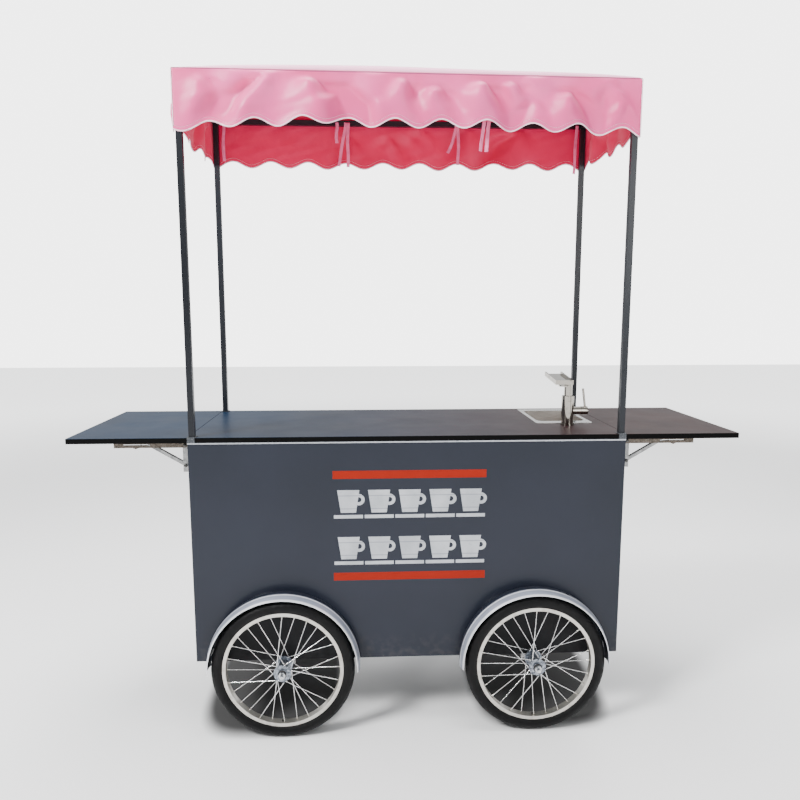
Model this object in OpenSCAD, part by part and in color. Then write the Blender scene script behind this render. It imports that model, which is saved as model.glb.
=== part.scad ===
// Push vending cart: a sheet-steel cabinet on four spoked wheels, with a worktop, two folding
// leaves, a small sink with a tap, and a fabric canopy on four posts.
// Millimetres. X runs along the cart, Y from the serving side (-) to the working side (+), Z up.
// The origin is on the ground, under the middle of the cart.

/* [Body] */
// Length of the cabinet
body_w = 1500; // [1250:10:1800]
// Depth of the cabinet
body_d = 590; // [580:10:720]
// Height of the worktop's upper face above the ground
counter_h = 1055; // [870:5:1280]
// Thickness of the steel sheets
sheet_t = 1.5; // [1:0.1:2]
// Wall of the frame's square tube
tube_wall = 2; // [1.5:0.1:2]
// Diameter of the weep hole in each frame tube
weep_d = 6; // [4:0.5:8]

/* [Worktop and leaves] */
// Thickness of the worktop board and of the leaves
board_t = 18; // [15:1:25]
// How far the boards stand out over the front and rear panels
board_lip = 2; // [1:0.5:6]
// Distance from the cabinet's side to a leaf's outer edge
leaf_reach = 400; // [340:5:480]
// Seam between the worktop and a leaf
leaf_seam = 2; // [1.5:0.5:4]
// Height of the light strip under the worktop
trim_h = 5; // [3:1:12]
// Thickness of the light strip
trim_t = 1; // [0.5:0.1:1.5]

/* [Canopy] */
// Side of the posts' and the top frame's square tube
post = 20; // [16:1:30]
// Wall of that tube
post_wall = 2; // [1.5:0.1:2.5]
// Height of the top frame's upper face above the ground
canopy_h = 2222; // [1900:5:2400]
// Depth of a post in its upright, below the worktop's upper face
post_seat = 150; // [100:5:250]
// Length of the plugs that join the top frame and the posts
plug_l = 60; // [40:5:90]
// Thickness of the canopy fabric as a closed solid
fabric_t = 2; // [1.5:0.5:3]
// Space between the fabric and the top frame
fabric_gap = 3; // [0.5:0.5:8]
// Drop of the valance below the roof, to the middle of its scallops
valance_h = 168; // [120:2:220]
// Height of a scallop from crest to trough
scallop_h = 26; // [10:1:40]
// Scallops along the front and the rear
scallops_long = 10; // [6:1:14]
// Scallops along each end
scallops_short = 4; // [2:1:6]
// Width of a tie ribbon
tie_w = 8; // [6:1:12]
// Thickness of a tie ribbon
tie_t = 1; // [0.8:0.1:2]

/* [Wheels] */
// Outer diameter of the tyres
wheel_d = 495; // [410:1:560]
// Distance of the axles from the cabinet's sides
wheel_in = 309; // [290:1:330]
// Distance of a wheel's middle plane from the panel beside it
wheel_out = 51; // [48:1:60]
// Section diameter of the tyre
tyre_d = 44.5; // [38:0.5:46]
// Width of the rim
rim_w = 28; // [24:1:32]
// Height of the rim's side walls
rim_h = 17; // [14:1:20]
// Number of spokes in a wheel, a multiple of four
spokes = 28; // [20:4:36]
// Diameter of a spoke
spoke_d = 2.2; // [1.8:0.1:2.2]
// Distance between the hub's flanges, middle to middle
flange_gap = 64; // [56:1:70]
// Diameter of the hub's flanges
flange_d = 60; // [54:1:66]
// Diameter of the hub's barrel
barrel_d = 40; // [34:1:44]
// Diameter of the axles
axle_d = 12; // [10:0.5:12]
// How far an axle stands out past its outer nut
axle_end = 15; // [8:1:20]
// Width of the axle nuts across their flats
nut_af = 22; // [19:1:24]

/* [Fenders] */
// Height of a fender's crown over the tyre
fender_over = 19; // [16:0.5:40]
// How far a fender stands out from the panel
fender_out = 76; // [74:1:100]
// How much the crown rises over the fender's outer lip
fender_crown = 9; // [6:1:12]
// Thickness of a fender
fender_t = 1.5; // [1:0.1:2]

/* [Folding brackets] */
// Distance between the two pivots of a wall arm
arm_pitch = 71; // [58:1:86]
// Length of a shelf arm past the far end of its slot
arm_end = 27; // [15:1:60]
// Distance between the two pins of a strut
strut_l = 140; // [115:1:170]
// Distance of the brackets' middle planes from the cabinet's front and rear faces
bracket_in = 40; // [35:1:120]
// Thickness of the brackets' steel
plate_t = 2; // [1.5:0.1:2.5]
// Diameter of the bracket pins
pin_d = 6; // [5:0.5:7]

/* [Sink and tap] */
// Width of the sink's rim, along the cart
sink_w = 215; // [180:1:260]
// Depth of the sink's rim, across the cart
sink_d = 337; // [300:1:345]
// Depth of the bowl below the worktop
bowl_h = 120; // [80:1:150]
// Distance of the sink's rim from the cabinet's right side
sink_edge = 44.5; // [35:0.5:150]
// Distance of the sink's rim from the front panel
sink_front = 223; // [150:1:230]
// Distance of the tap's middle from the sink's rim
tap_gap = 33; // [30:1:60]
// Height of the tap's body above the worktop
tap_h = 109; // [80:1:140]
// Diameter of the tap's body
tap_d = 45; // [37:1:54]
// Length of the spout over the sink
spout_l = 160; // [100:1:190]
// Width of the spout
spout_w = 66; // [50:1:80]

/* [Rear doors] */
// Height of the rear opening's lower edge over the fenders
door_sill = 52.5; // [40:0.5:120]
// Distance of the rear opening's ends from the cabinet's sides
door_margin = 160; // [90:5:250]
// Thickness of a sliding door
door_t = 4; // [3:0.5:6]

/* [Water tanks] */
// Width and depth of each tank
tank_w = 190; // [150:5:200]
// Height of each tank's body
tank_h = 280; // [200:5:300]

/* [Hidden] */
SIDES = ["left", "right"];
WHEELS = ["front_left", "front_right", "rear_left", "rear_right"];
WHEEL_PARTS = ["tyre", "rim", "laced_hub"];

// Fits and clearances
slip = 0.3;          // between pieces that pass each other
run_fit = 0.05;      // radial, between a pin or an axle and its bore
seat_gap = 0.5;      // between stacked pieces on one axle

// Heights and faces that several pieces share
wheel_z = wheel_d / 2;
axle_gap = 0.5;      // between an axle and the cabinet's underside
body_z = wheel_z + axle_d / 2 + axle_gap;
board_z = counter_h - board_t;
post_play = 0.5;     // on each side of a post in its upright
tube = post + 2 * tube_wall + 2 * post_play;
front_y = -body_d / 2;
side_x = body_w / 2;
inner_x = side_x - sheet_t;
inner_y = body_d / 2 - sheet_t;
corner_x = inner_x - tube / 2;
corner_y = inner_y - tube / 2;
floor_z = body_z + tube;
wheel_x = side_x - wheel_in;
fender_r = wheel_z + fender_over;
post_z = counter_h - post_seat;
rail_z = canopy_h - post;
collar = post + 10;
collar_top = 2;

// Colours
steel_grey = [0.31, 0.34, 0.38];
tube_grey = [0.25, 0.28, 0.32];
board_black = [0.08, 0.08, 0.10];
silver = [0.78, 0.80, 0.83];
galvanised = [0.66, 0.67, 0.67];
pink = [0.95, 0.66, 0.77];
tyre_black = [0.06, 0.06, 0.07];
orange = [0.83, 0.32, 0.20];

// ---- helpers ----

// Which way a named side lies along X
function side_sign(s) = s == "left" ? -1 : 1;
// The corner that a wheel's or a post's name stands for, as signs along X and Y
function corner_of(w) = w == "front_left" ? [-1, -1] : w == "front_right" ? [1, -1]
    : w == "rear_left" ? [-1, 1] : [1, 1];

// A square tube along X from its middle, closed by what it is welded to, with a weep hole
module rail_along_x(length, side, wall) {
    difference() {
        cube([length, side, side], center = true);
        cube([length, side - 2 * wall, side - 2 * wall], center = true);
        translate([0, 0, -side]) cylinder(h = side, d = weep_d, $fn = 24);
    }
}

// A square tube standing on the XY plane
module upright(length, side, wall) {
    difference() {
        translate([-side / 2, -side / 2, 0]) cube([side, side, length]);
        translate([wall - side / 2, wall - side / 2, -1])
            cube([side - 2 * wall, side - 2 * wall, length + 2]);
    }
}

// A rectangle with round corners, centred
module round_rect(w, d, r) {
    square([w - 2 * r, d], center = true);
    square([w, d - 2 * r], center = true);
    for (x = [-1, 1], y = [-1, 1])
        translate([x * (w / 2 - r), y * (d / 2 - r)]) circle(r = r, $fn = 32);
}

// Both ends of the cart, or all four corners
module mirror_x() { children(); mirror([1, 0, 0]) children(); }
module mirror_y() { children(); mirror([0, 1, 0]) children(); }

// ---- cabinet ----

stop_t = 6;          // plug in an upright that a post stands on

// Corner uprights, bottom and top rectangles and two cross members, welded
module body_frame() {
    color(tube_grey) {
        for (x = [-corner_x, corner_x], y = [-corner_y, corner_y]) {
            translate([x, y, body_z]) upright(board_z - body_z, tube, tube_wall);
            translate([x, y, post_z - stop_t / 2])
                cube([tube - tube_wall, tube - tube_wall, stop_t], center = true);
        }
        for (z = [body_z + tube / 2, board_z - tube / 2]) {
            for (y = [-corner_y, corner_y])
                translate([0, y, z]) rail_along_x(2 * corner_x - tube, tube, tube_wall);
            for (x = [-corner_x, corner_x])
                translate([x, 0, z]) rotate([0, 0, 90])
                    rail_along_x(2 * corner_y - tube, tube, tube_wall);
        }
        for (x = [-wheel_x, wheel_x])
            translate([x, 0, body_z + tube / 2]) rotate([0, 0, 90])
                rail_along_x(2 * corner_y - tube, tube, tube_wall);
    }
}

// Sheet that lies on the bottom rectangle, notched round the uprights
module floor_panel() {
    color(galvanised) difference() {
        translate([-inner_x, -inner_y, floor_z]) cube([2 * inner_x, 2 * inner_y, sheet_t]);
        for (x = [-corner_x, corner_x], y = [-corner_y, corner_y])
            translate([x, y, floor_z])
                cube([tube + 2 * slip, tube + 2 * slip, 4 * sheet_t], center = true);
    }
}

module front_panel() {
    color(steel_grey) translate([-side_x, front_y, body_z])
        cube([body_w, sheet_t, board_z - body_z]);
}

module side_panel(s) {
    color(steel_grey) translate([side_sign(s) * (side_x - sheet_t / 2), 0, (body_z + board_z) / 2])
        cube([sheet_t, 2 * inner_y, board_z - body_z], center = true);
}

// The rear opening lies above the fenders and below the top rail
door_head = 22;      // between the opening and the top rail
door_open_w = body_w - 2 * door_margin;
door_open_h = board_z - tube - door_head - (wheel_z + fender_r + door_sill);
door_mid_z = board_z - tube - door_head - door_open_h / 2;

module rear_panel() {
    color(steel_grey) difference() {
        translate([-side_x, inner_y, body_z]) cube([body_w, sheet_t, board_z - body_z]);
        translate([0, inner_y, door_mid_z])
            cube([door_open_w, 6 * sheet_t, door_open_h], center = true);
    }
}

// Sliding doors: each covers half the opening and laps the frame and the other door
track_h = 14;
groove_h = 8;
door_lap = 15;
track_land = 2;
groove_w = door_t + 2 * seat_gap;
track_d = 2 * groove_w + 3 * track_land;
door_w = door_open_w / 2 + 2 * door_lap;
door_h = door_open_h + 2 * door_lap;
track_gap = door_h + 2 * seat_gap - 2 * groove_h;
track_l = door_open_w + 4 * door_lap;

// Middle of the outer or the inner groove, from the rear panel inwards
function groove_y(i) = inner_y - track_land - groove_w / 2 - i * (groove_w + track_land);

module door_tracks() {
    color(silver) for (m = [0, 1])
        translate([0, 0, door_mid_z]) mirror([0, 0, m]) difference() {
            translate([-track_l / 2, inner_y - track_d, track_gap / 2])
                cube([track_l, track_d, track_h]);
            for (i = [0, 1])
                translate([-track_l / 2 - 1, groove_y(i) - groove_w / 2, track_gap / 2 - 1])
                    cube([track_l + 2, groove_w, groove_h + 1]);
        }
}

pull_w = 26;
pull_h = 90;
pull_in = 45;

// A sliding door with a long finger hole near its outer edge
module sliding_door(s) {
    k = side_sign(s);
    mid = k * (track_l / 2 - door_w / 2);
    pull_x = mid + k * (door_w / 2 - door_lap - pull_in);
    color(steel_grey) translate([0, groove_y(s == "left" ? 0 : 1) + door_t / 2, door_mid_z])
        rotate([90, 0, 0]) linear_extrude(door_t) difference() {
            translate([mid, 0]) square([door_w, door_h], center = true);
            translate([pull_x, 0]) round_rect(pull_w, pull_h, pull_w / 2 - 0.01);
        }
}

// ---- worktop ----

sink_x = side_x - sink_edge - sink_w / 2;
sink_y = front_y + sink_front + sink_d / 2;
tap_y = sink_y - sink_d / 2 - tap_gap;
bowl_side = 15;      // rim's width beside the bowl
bowl_end = 41;       // rim's width before and behind the bowl
bowl_r = 28;
bowl_wall = 1;
rim_t = 1.5;
bowl_w = sink_w - 2 * bowl_side;
bowl_d = sink_d - 2 * bowl_end;
tap_stem_d = 32;

// Board with a notch round each post collar, the sink's cut-out and the tap's hole
module worktop() {
    color(board_black) difference() {
        translate([-side_x, -body_d / 2 - board_lip, board_z])
            cube([body_w, body_d + 2 * board_lip, board_t]);
        for (x = [-corner_x, corner_x], y = [-corner_y, corner_y])
            translate([x, y, board_z])
                cube([collar + 2 * slip, collar + 2 * slip, 4 * board_t], center = true);
        for (x = [-side_x, side_x], y = [front_y - board_lip, -front_y + board_lip])
            translate([x, y, board_z])
                cube([2 * tube, 2 * board_lip + 4 * slip, 4 * board_t], center = true);
        translate([sink_x, sink_y, board_z - 1]) linear_extrude(board_t + 2)
            round_rect(bowl_w + 2 * bowl_wall + 2, bowl_d + 2 * bowl_wall + 2, bowl_r);
        translate([sink_x, tap_y, board_z - 1]) cylinder(h = board_t + 2, d = tap_stem_d + 1);
    }
}

// Light strips along the top of the front and rear panels, under the worktop's edge
module worktop_trim() {
    color(silver) mirror_y() translate([-side_x, front_y - trim_t, board_z - trim_h])
        cube([body_w, trim_t, trim_h - slip]);
}

// Square sleeves where the posts pass the worktop
module post_collars() {
    color(galvanised) for (x = [-corner_x, corner_x], y = [-corner_y, corner_y])
        translate([x, y, board_z]) difference() {
            translate([-collar / 2, -collar / 2, 0]) cube([collar, collar, board_t + collar_top]);
            translate([0, 0, board_t])
                cube([post + 2 * slip, post + 2 * slip, 4 * board_t], center = true);
        }
}

// ---- canopy ----

// Square tube from its seat in an upright to the top frame
module canopy_post(w) {
    c = corner_of(w);
    color(tube_grey) translate([c.x * corner_x, c.y * corner_y, post_z])
        upright(rail_z - post_z, post, post_wall);
}

// Rectangle of tube with a plug that goes down into each post
module canopy_top_frame() {
    plug = post - 2 * post_wall - 2 * slip;
    color(tube_grey) {
        for (y = [-corner_y, corner_y])
            translate([0, y, rail_z + post / 2]) rail_along_x(2 * corner_x - post, post, post_wall);
        for (x = [-corner_x, corner_x]) {
            translate([x, 0, rail_z + post / 2]) rotate([0, 0, 90])
                rail_along_x(2 * corner_y - post, post, post_wall);
            for (y = [-corner_y, corner_y]) {
                translate([x - post / 2, y - post / 2, rail_z]) cube(post);
                translate([x - plug / 2, y - plug / 2, rail_z - plug_l]) cube([plug, plug, plug_l]);
            }
        }
    }
}

cover_x = corner_x + post / 2 + fabric_gap;
cover_y = corner_y + post / 2 + fabric_gap;
cover_z = canopy_h + slip;
scallop_steps = 8;   // points along one scallop

// A valance's outline: straight along the top, a wave with troughs at both ends below
module valance_outline(length, count) {
    n = count * scallop_steps;
    polygon(concat([[length / 2, 0], [-length / 2, 0]],
        [for (i = [0:n]) [-length / 2 + length * i / n,
            -valance_h - scallop_h / 2 * cos(360 * count * i / n)]]));
}

// Roof sheet and four valances with scalloped hems, open below
module canopy_cover() {
    color(pink) translate([0, 0, cover_z]) {
        translate([-cover_x - fabric_t, -cover_y - fabric_t, 0])
            cube([2 * (cover_x + fabric_t), 2 * (cover_y + fabric_t), fabric_t]);
        mirror_y() translate([0, -cover_y, 0]) rotate([90, 0, 0]) linear_extrude(fabric_t)
            valance_outline(2 * (cover_x + fabric_t), scallops_long);
        mirror_x() translate([cover_x, 0, 0]) rotate([90, 0, 90]) linear_extrude(fabric_t)
            valance_outline(2 * cover_y, scallops_short);
    }
}

// Ties on the top frame's long rails: place along the rail, hanging length, rail (-1 front, 1 rear)
TIES = [[-300, 110, 1], [-262, 190, 1], [-240, 195, 1], [202, 130, 1], [224, 170, 1],
        [250, 95, -1], [268, 100, -1], [-690, 150, 1], [690, 190, 1]];

module canopy_ties() {
    color(pink) for (t = TIES)
        translate([t[0] - tie_w / 2, t[2] * corner_y - (t[2] > 0 ? post / 2 + slip + tie_t
            : -post / 2 - slip), canopy_h - post / 2 - t[1]])
            cube([tie_w, tie_t, t[1]]);
}

// ---- sink, tap and water ----

drain_d = 40;
strainer_t = 2;
bowl_z = counter_h - bowl_h;

module sink_bowl() {
    color(silver) translate([sink_x, sink_y, 0]) difference() {
        union() {
            translate([0, 0, counter_h]) linear_extrude(rim_t) round_rect(sink_w, sink_d, 6);
            translate([0, 0, bowl_z]) linear_extrude(bowl_h)
                round_rect(bowl_w + 2 * bowl_wall, bowl_d + 2 * bowl_wall, bowl_r);
        }
        translate([0, 0, bowl_z + bowl_wall]) linear_extrude(bowl_h + rim_t)
            round_rect(bowl_w, bowl_d, bowl_r - bowl_wall);
        translate([0, 0, bowl_z - 1]) cylinder(h = 4, d = drain_d);
    }
}

// Perforated disc over the drain hole
module sink_strainer() {
    color(silver) translate([sink_x, sink_y, bowl_z + bowl_wall]) difference() {
        cylinder(h = strainer_t, d = drain_d + 16);
        translate([0, 0, -1]) for (a = [0:45:315])
            rotate([0, 0, a]) translate([drain_d / 4, 0, 0]) cylinder(h = strainer_t + 2, d = 5);
    }
}

tank_wall = 3;
neck_d = 60;
neck_h = 25;
neck_bore = neck_d - 2 * tank_wall;
tank_top = floor_z + sheet_t + tank_h;
pipe_d = 32;
pipe_wall = 2;
waste_x = sink_x;
fresh_x = waste_x - tank_w - 60;

// Straight tailpiece with its flange and nut, which ends inside the waste tank's neck
module drain_pipe() {
    color([0.85, 0.85, 0.84]) translate([sink_x, sink_y, 0]) difference() {
        union() {
            translate([0, 0, tank_top + 5]) cylinder(h = bowl_z - tank_top - 5, d = pipe_d);
            translate([0, 0, bowl_z - 12]) cylinder(h = 12, d = drain_d + 16);
            translate([0, 0, bowl_z - 40]) cylinder(h = 18, d = pipe_d + 14, $fn = 8);
        }
        translate([0, 0, tank_top]) cylinder(h = bowl_h + bowl_z, d = pipe_d - 2 * pipe_wall);
    }
}

// Blow-moulded can with a round neck in its middle
module water_tank() {
    difference() {
        union() {
            linear_extrude(tank_h) round_rect(tank_w, tank_w, 25);
            translate([0, 0, tank_h]) cylinder(h = neck_h, d = neck_d);
        }
        translate([0, 0, tank_wall]) linear_extrude(tank_h - 2 * tank_wall)
            round_rect(tank_w - 2 * tank_wall, tank_w - 2 * tank_wall, 25 - tank_wall);
        translate([0, 0, tank_h / 2]) cylinder(h = tank_h, d = neck_bore);
    }
}

module waste_water_tank() {
    color([0.6, 0.62, 0.65]) translate([waste_x, sink_y, floor_z + sheet_t]) water_tank();
}

module fresh_water_tank() {
    color([0.75, 0.83, 0.9]) translate([fresh_x, sink_y, floor_z + sheet_t]) water_tank();
}

// Screw cap on the fresh water tank
module tank_cap() {
    color([0.2, 0.35, 0.6]) translate([fresh_x, sink_y, tank_top + neck_h - 15]) difference() {
        cylinder(h = 19, d = neck_d + 8);
        translate([0, 0, -1]) cylinder(h = 16 + slip, d = neck_d + 2 * slip);
    }
}

// Diaphragm pump on the floor: motor, head and foot plate
module water_pump() {
    foot = 4;
    motor_d = 52;
    color(tube_grey) translate([fresh_x - tank_w, sink_y, floor_z + sheet_t]) {
        translate([-45, -35, 0]) cube([90, 70, foot]);
        translate([0, 0, foot + motor_d / 2 - 2]) {
            translate([-60, 0, 0]) rotate([0, 90, 0]) cylinder(h = 90, d = motor_d);
            translate([30, -32, 2 - motor_d / 2]) cube([34, 64, motor_d + 4]);
        }
    }
}

tap_z = counter_h + tap_h;
neck_od = 30;
spindle_d = 20;
neck_l = 47;
valve_z = counter_h + 53;
valve_d = 30;
valve_pin_d = 12;
valve_face = sink_x + tap_d / 2 + 26;
nut_under = 10;

// Fixed tap body with its flange, under-counter nut, side valve and the spout's spindle
module tap_body() {
    color(silver) {
        translate([sink_x, tap_y, 0]) {
            translate([0, 0, counter_h]) cylinder(h = 6, d = tap_d + 5);
            translate([0, 0, counter_h]) cylinder(h = tap_h, d = tap_d);
            translate([0, 0, board_z - 2 * nut_under])
                cylinder(h = board_t + 2 * nut_under, d = tap_stem_d);
            translate([0, 0, board_z - nut_under]) cylinder(h = nut_under, d = 52, $fn = 6);
            translate([0, 0, tap_z]) cylinder(h = neck_l - 10, d = spindle_d);
        }
        translate([sink_x, tap_y, valve_z]) rotate([0, 90, 0]) {
            cylinder(h = valve_face - sink_x, d = valve_d);
            cylinder(h = valve_face - sink_x + 16, d = valve_pin_d);
        }
    }
}

spout_rise = 6;      // tilt of the spout's trough, in degrees
spout_t = 16;
spout_wall = 5;
spout_side = 20;     // trough's middle from the neck's, towards the cart's middle
spout_back = 20;     // trough's length before the neck's middle

// Neck and open trough that turn on the tap body's spindle
module tap_spout() {
    color(silver) translate([sink_x, tap_y, tap_z + slip]) difference() {
        union() {
            cylinder(h = neck_l + 3, d = neck_od);
            translate([-14, 0, neck_l - 12]) cylinder(h = 5, d = 44);
            translate([-spout_w / 2 - spout_side, -spout_back, neck_l - 4])
                rotate([spout_rise, 0, 0]) difference() {
                    cube([spout_w, spout_l, spout_t]);
                    translate([spout_wall, 2 * spout_wall, spout_t / 2])
                        cube([spout_w - 2 * spout_wall, spout_l, spout_t]);
                }
        }
        translate([0, 0, -1]) cylinder(h = neck_l - 8, d = spindle_d + 2 * run_fit);
    }
}

lever_l = 68;
lever_d = 8;

// Cap that turns on the valve's spindle, with its thin upright rod
module tap_lever() {
    color(silver) translate([valve_face + slip, tap_y, valve_z]) difference() {
        union() {
            rotate([0, 90, 0]) cylinder(h = 24, d = valve_d + 2);
            translate([18, 0, 0]) rotate([0, -8, 0])
                cylinder(h = valve_d / 2 + lever_l, d = lever_d);
        }
        translate([-1, 0, 0]) rotate([0, 90, 0])
            cylinder(h = 18, d = valve_pin_d + 2 * run_fit);
    }
}

// ---- decals ----

decal_t = 0.3;
bar_l = 530;
bar_h = 28;
bar_top_z = 921;
bar_low_z = 557;
cup_rows = [823, 656];
cup_count = 5;
cup_h = 112;

// A plain cup with a handle, on a saucer, drawn 100 wide and 112 high from its lower middle
module cup_shape() {
    translate([-50, 0]) square([100, 12]);
    polygon([[-26, 20], [26, 20], [38, cup_h - 12], [-38, cup_h - 12]]);
    translate([36, 66]) difference() {
        circle(d = 40, $fn = 40);
        circle(d = 18, $fn = 32);
        translate([-40, -20]) square([34, 40]);
    }
}

// Two bars and two rows of cups on the serving side
module front_decals() {
    translate([0, front_y, 0]) rotate([90, 0, 0]) linear_extrude(decal_t) {
        for (z = [bar_top_z, bar_low_z]) translate([0, z]) square([bar_l, bar_h], center = true);
        for (z = cup_rows, i = [0:cup_count - 1])
            translate([(i - (cup_count - 1) / 2) * bar_l / cup_count, z - cup_h / 2]) cup_shape();
    }
}

// ---- wheels ----

wheel_y = body_d / 2 + wheel_out;
rim_r = wheel_d / 2 - tyre_d / 2 - 12;
rim_wall = 3;
bead_h = 10;
hub_half = flange_gap / 2;
hub_end = hub_half + 6;
flange_t = 3;
nut_t = 10;

// Turns a profile of radius and width round the wheel's axle
module wheel_turn() { rotate([90, 0, 0]) rotate_extrude($fn = 96) children(); }

module at_wheel(w) {
    c = corner_of(w);
    translate([c.x * wheel_x, c.y * wheel_y, wheel_z]) children();
}

// Hollow tyre: a round section over the rim, with two beads between the rim's walls
module tyre(w) {
    mid = wheel_d / 2 - tyre_d / 2;
    casing = 7.5;
    bead_t = 4;
    bead_w = rim_w / 2 - rim_wall - slip;
    color(tyre_black) at_wheel(w) wheel_turn() difference() {
        union() {
            intersection() {
                translate([mid, 0]) circle(d = tyre_d, $fn = 64);
                translate([rim_r + slip, -tyre_d]) square([tyre_d * 2, 2 * tyre_d]);
            }
            translate([rim_r - bead_h, -bead_w]) square([2 * bead_h, 2 * bead_w]);
        }
        translate([mid, 0]) circle(d = tyre_d - 2 * casing, $fn = 48);
        translate([rim_r - bead_h - 1, bead_t - bead_w])
            square([2 * bead_h, 2 * (bead_w - bead_t)]);
    }
}

// Channel-shaped rim
module rim(w) {
    color(silver) at_wheel(w) wheel_turn() difference() {
        translate([rim_r - rim_h, -rim_w / 2]) square([rim_h, rim_w]);
        translate([rim_r - rim_h + rim_wall, rim_wall - rim_w / 2])
            square([rim_h, rim_w - 2 * rim_wall]);
    }
}

// Radii of the spokes' ends: on the hub's flange and inside the rim
hole_r = flange_d / 2 - 5;
end_r = rim_r - rim_h - slip;

// The share of a spoke's length that lies over the flange, where its ends are turn apart
function share_on_flange(turn) =
    let (x = end_r * cos(turn) - hole_r, y = end_r * sin(turn), a = x * x + y * y,
         b = 2 * hole_r * x, c = hole_r * hole_r - pow(flange_d / 2 + spoke_d, 2))
    (sqrt(b * b - 4 * a * c) - b) / (2 * a);

// One spoke, from a flange hole at angle a to a rim hole at angle b, beside the flange
module spoke(a, b, flange_y, rim_y) {
    p = [hole_r * cos(a), flange_y, hole_r * sin(a)];
    q = [end_r * cos(b), rim_y, end_r * sin(b)];
    d = q - p;
    translate(p) rotate([0, acos(d.z / norm(d)), atan2(d.y, d.x)])
        cylinder(h = norm(d), d = spoke_d, $fn = 16);
}

// Hub with two flanges and its spokes, each crossing two others on its flange
module laced_hub(w) {
    step = 720 / spokes;
    cross = 2;
    rim_in = 4;
    rim_off = spoke_d / 2 + 0.2;  // so that crossing spokes pass each other
    clear = flange_t / 2 + spoke_d / 2 + 0.1;
    share = share_on_flange(cross * step);
    // An outer spoke leans in towards the rim, and still passes the flange's edge
    off_out = (clear + share * (hub_half - rim_in - rim_off)) / (1 - share);
    color(silver) at_wheel(w) {
        wheel_turn() difference() {
            union() {
                translate([0, -hub_half]) square([barrel_d / 2, flange_gap]);
                translate([0, -hub_end]) square([barrel_d / 2 - 3, 2 * hub_end]);
                for (y = [-1, 1]) translate([0, y * hub_half - flange_t / 2])
                    square([flange_d / 2, flange_t]);
            }
            translate([-1, -hub_end - 1])
                square([1 + axle_d / 2 + run_fit, 2 * hub_end + 2]);
        }
        for (s = [-1, 1], k = [0:spokes / 2 - 1]) {
            lead = k % 2 == 0 ? 1 : -1;
            a = (k + (s > 0 ? 0 : 0.5)) * step;
            off = lead == s ? off_out : clear;
            spoke(a, a + lead * cross * step, s * hub_half + lead * off,
                s * rim_in + lead * rim_off);
        }
    }
}

// Two through axles under the cabinet
axle_half = wheel_y + hub_end + seat_gap + nut_t + axle_end;

module axles() {
    color(galvanised) for (x = [-wheel_x, wheel_x])
        translate([x, axle_half, wheel_z]) rotate([90, 0, 0])
            cylinder(h = 2 * axle_half, d = axle_d);
}

bracket_w = 66;
bracket_t = 6;
bracket_drop = 23.5 + axle_gap + axle_d / 2;   // below the cabinet's underside

// Plates on the inner faces of the bottom rails, forked round the cross members and
// bored for the axles
module axle_brackets() {
    color(tube_grey) for (x = [-wheel_x, wheel_x], y = [-1, 1])
        translate([x, y * (corner_y - tube / 2) + (y > 0 ? 0 : bracket_t), 0])
            rotate([90, 0, 0]) linear_extrude(bracket_t) difference() {
                translate([-bracket_w / 2, body_z - bracket_drop])
                    square([bracket_w, tube + bracket_drop]);
                translate([-tube / 2, body_z]) square([tube, 2 * tube]);
                translate([0, wheel_z]) circle(d = axle_d, $fn = 48);
            }
}

// Outer nuts and inner spacer nuts of all four wheels
module axle_nuts() {
    across = nut_af / cos(30);
    color(galvanised) for (w = WHEELS) {
        c = corner_of(w);
        at_wheel(w) rotate([c.y * 90, 0, 0]) difference() {
            union() {
                translate([0, 0, -hub_end - seat_gap - nut_t])
                    cylinder(h = nut_t, d = across, $fn = 6);
                translate([0, 0, hub_end + seat_gap])
                    cylinder(h = wheel_out - hub_end - 2 * seat_gap, d = across, $fn = 6);
            }
            translate([0, 0, -wheel_out - nut_t]) cylinder(h = 3 * wheel_out, d = axle_d);
        }
    }
}

// ---- fenders ----

fender_sweep = 184;
crown_steps = 10;

// Radius of the fender's outer face at a distance from the panel, from 0 to fender_out
function fender_at(y) = fender_r
    - fender_crown * pow((y - fender_out * 0.45) / (fender_out * 0.55), 2);

module fender(w) {
    c = corner_of(w);
    ys = [for (i = [0:crown_steps]) fender_out * i / crown_steps];
    color(silver) mirror([0, c.y > 0 ? 1 : 0, 0])
        translate([c.x * wheel_x, front_y, wheel_z]) rotate([90, 0, 0])
            rotate([0, 0, (180 - fender_sweep) / 2]) rotate_extrude(angle = fender_sweep, $fn = 96)
                polygon(concat([for (y = ys) [fender_at(y), y]],
                    [for (i = [crown_steps:-1:0]) [fender_at(ys[i]) - fender_t, ys[i]]]));
}

stay_w = 20;
stay_t = 2;
stay_l = 18;

// Small angles that hold the fenders to the panels, three to a fender
module fender_stays() {
    seat = fender_at(0) - fender_t - 0.5;
    color(silver) for (w = WHEELS, a = [-80, 0, 80]) {
        c = corner_of(w);
        translate([c.x * wheel_x, c.y * body_d / 2, wheel_z]) rotate([0, a, 0]) {
            translate([-stay_w / 2, c.y > 0 ? 0 : -stay_t, seat - stay_l])
                cube([stay_w, stay_t, stay_l]);
            translate([-stay_w / 2, c.y > 0 ? 0 : -stay_l, seat - stay_t])
                cube([stay_w, stay_l, stay_t]);
        }
    }
}

// ---- leaves and their folding brackets ----

pivot_out = 15;      // pivots' distance from the cabinet's side
pivot_drop = 12;     // upper pivot's distance below the boards
wall_half = 10;      // half the width of a wall arm
shelf_half = wall_half + 1 + plate_t;
strut_half = wall_half - plate_t - 1;
wall_tail = 23;      // wall arm's length below its lower pivot
pivot_z = board_z - pivot_drop;
lower_z = pivot_z - arm_pitch;
slot_near = sqrt(strut_l * strut_l - arm_pitch * arm_pitch);
slot_far = strut_l + arm_pitch;
arm_l = slot_far + arm_end;
bracket_y = body_d / 2 - bracket_in;

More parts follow.
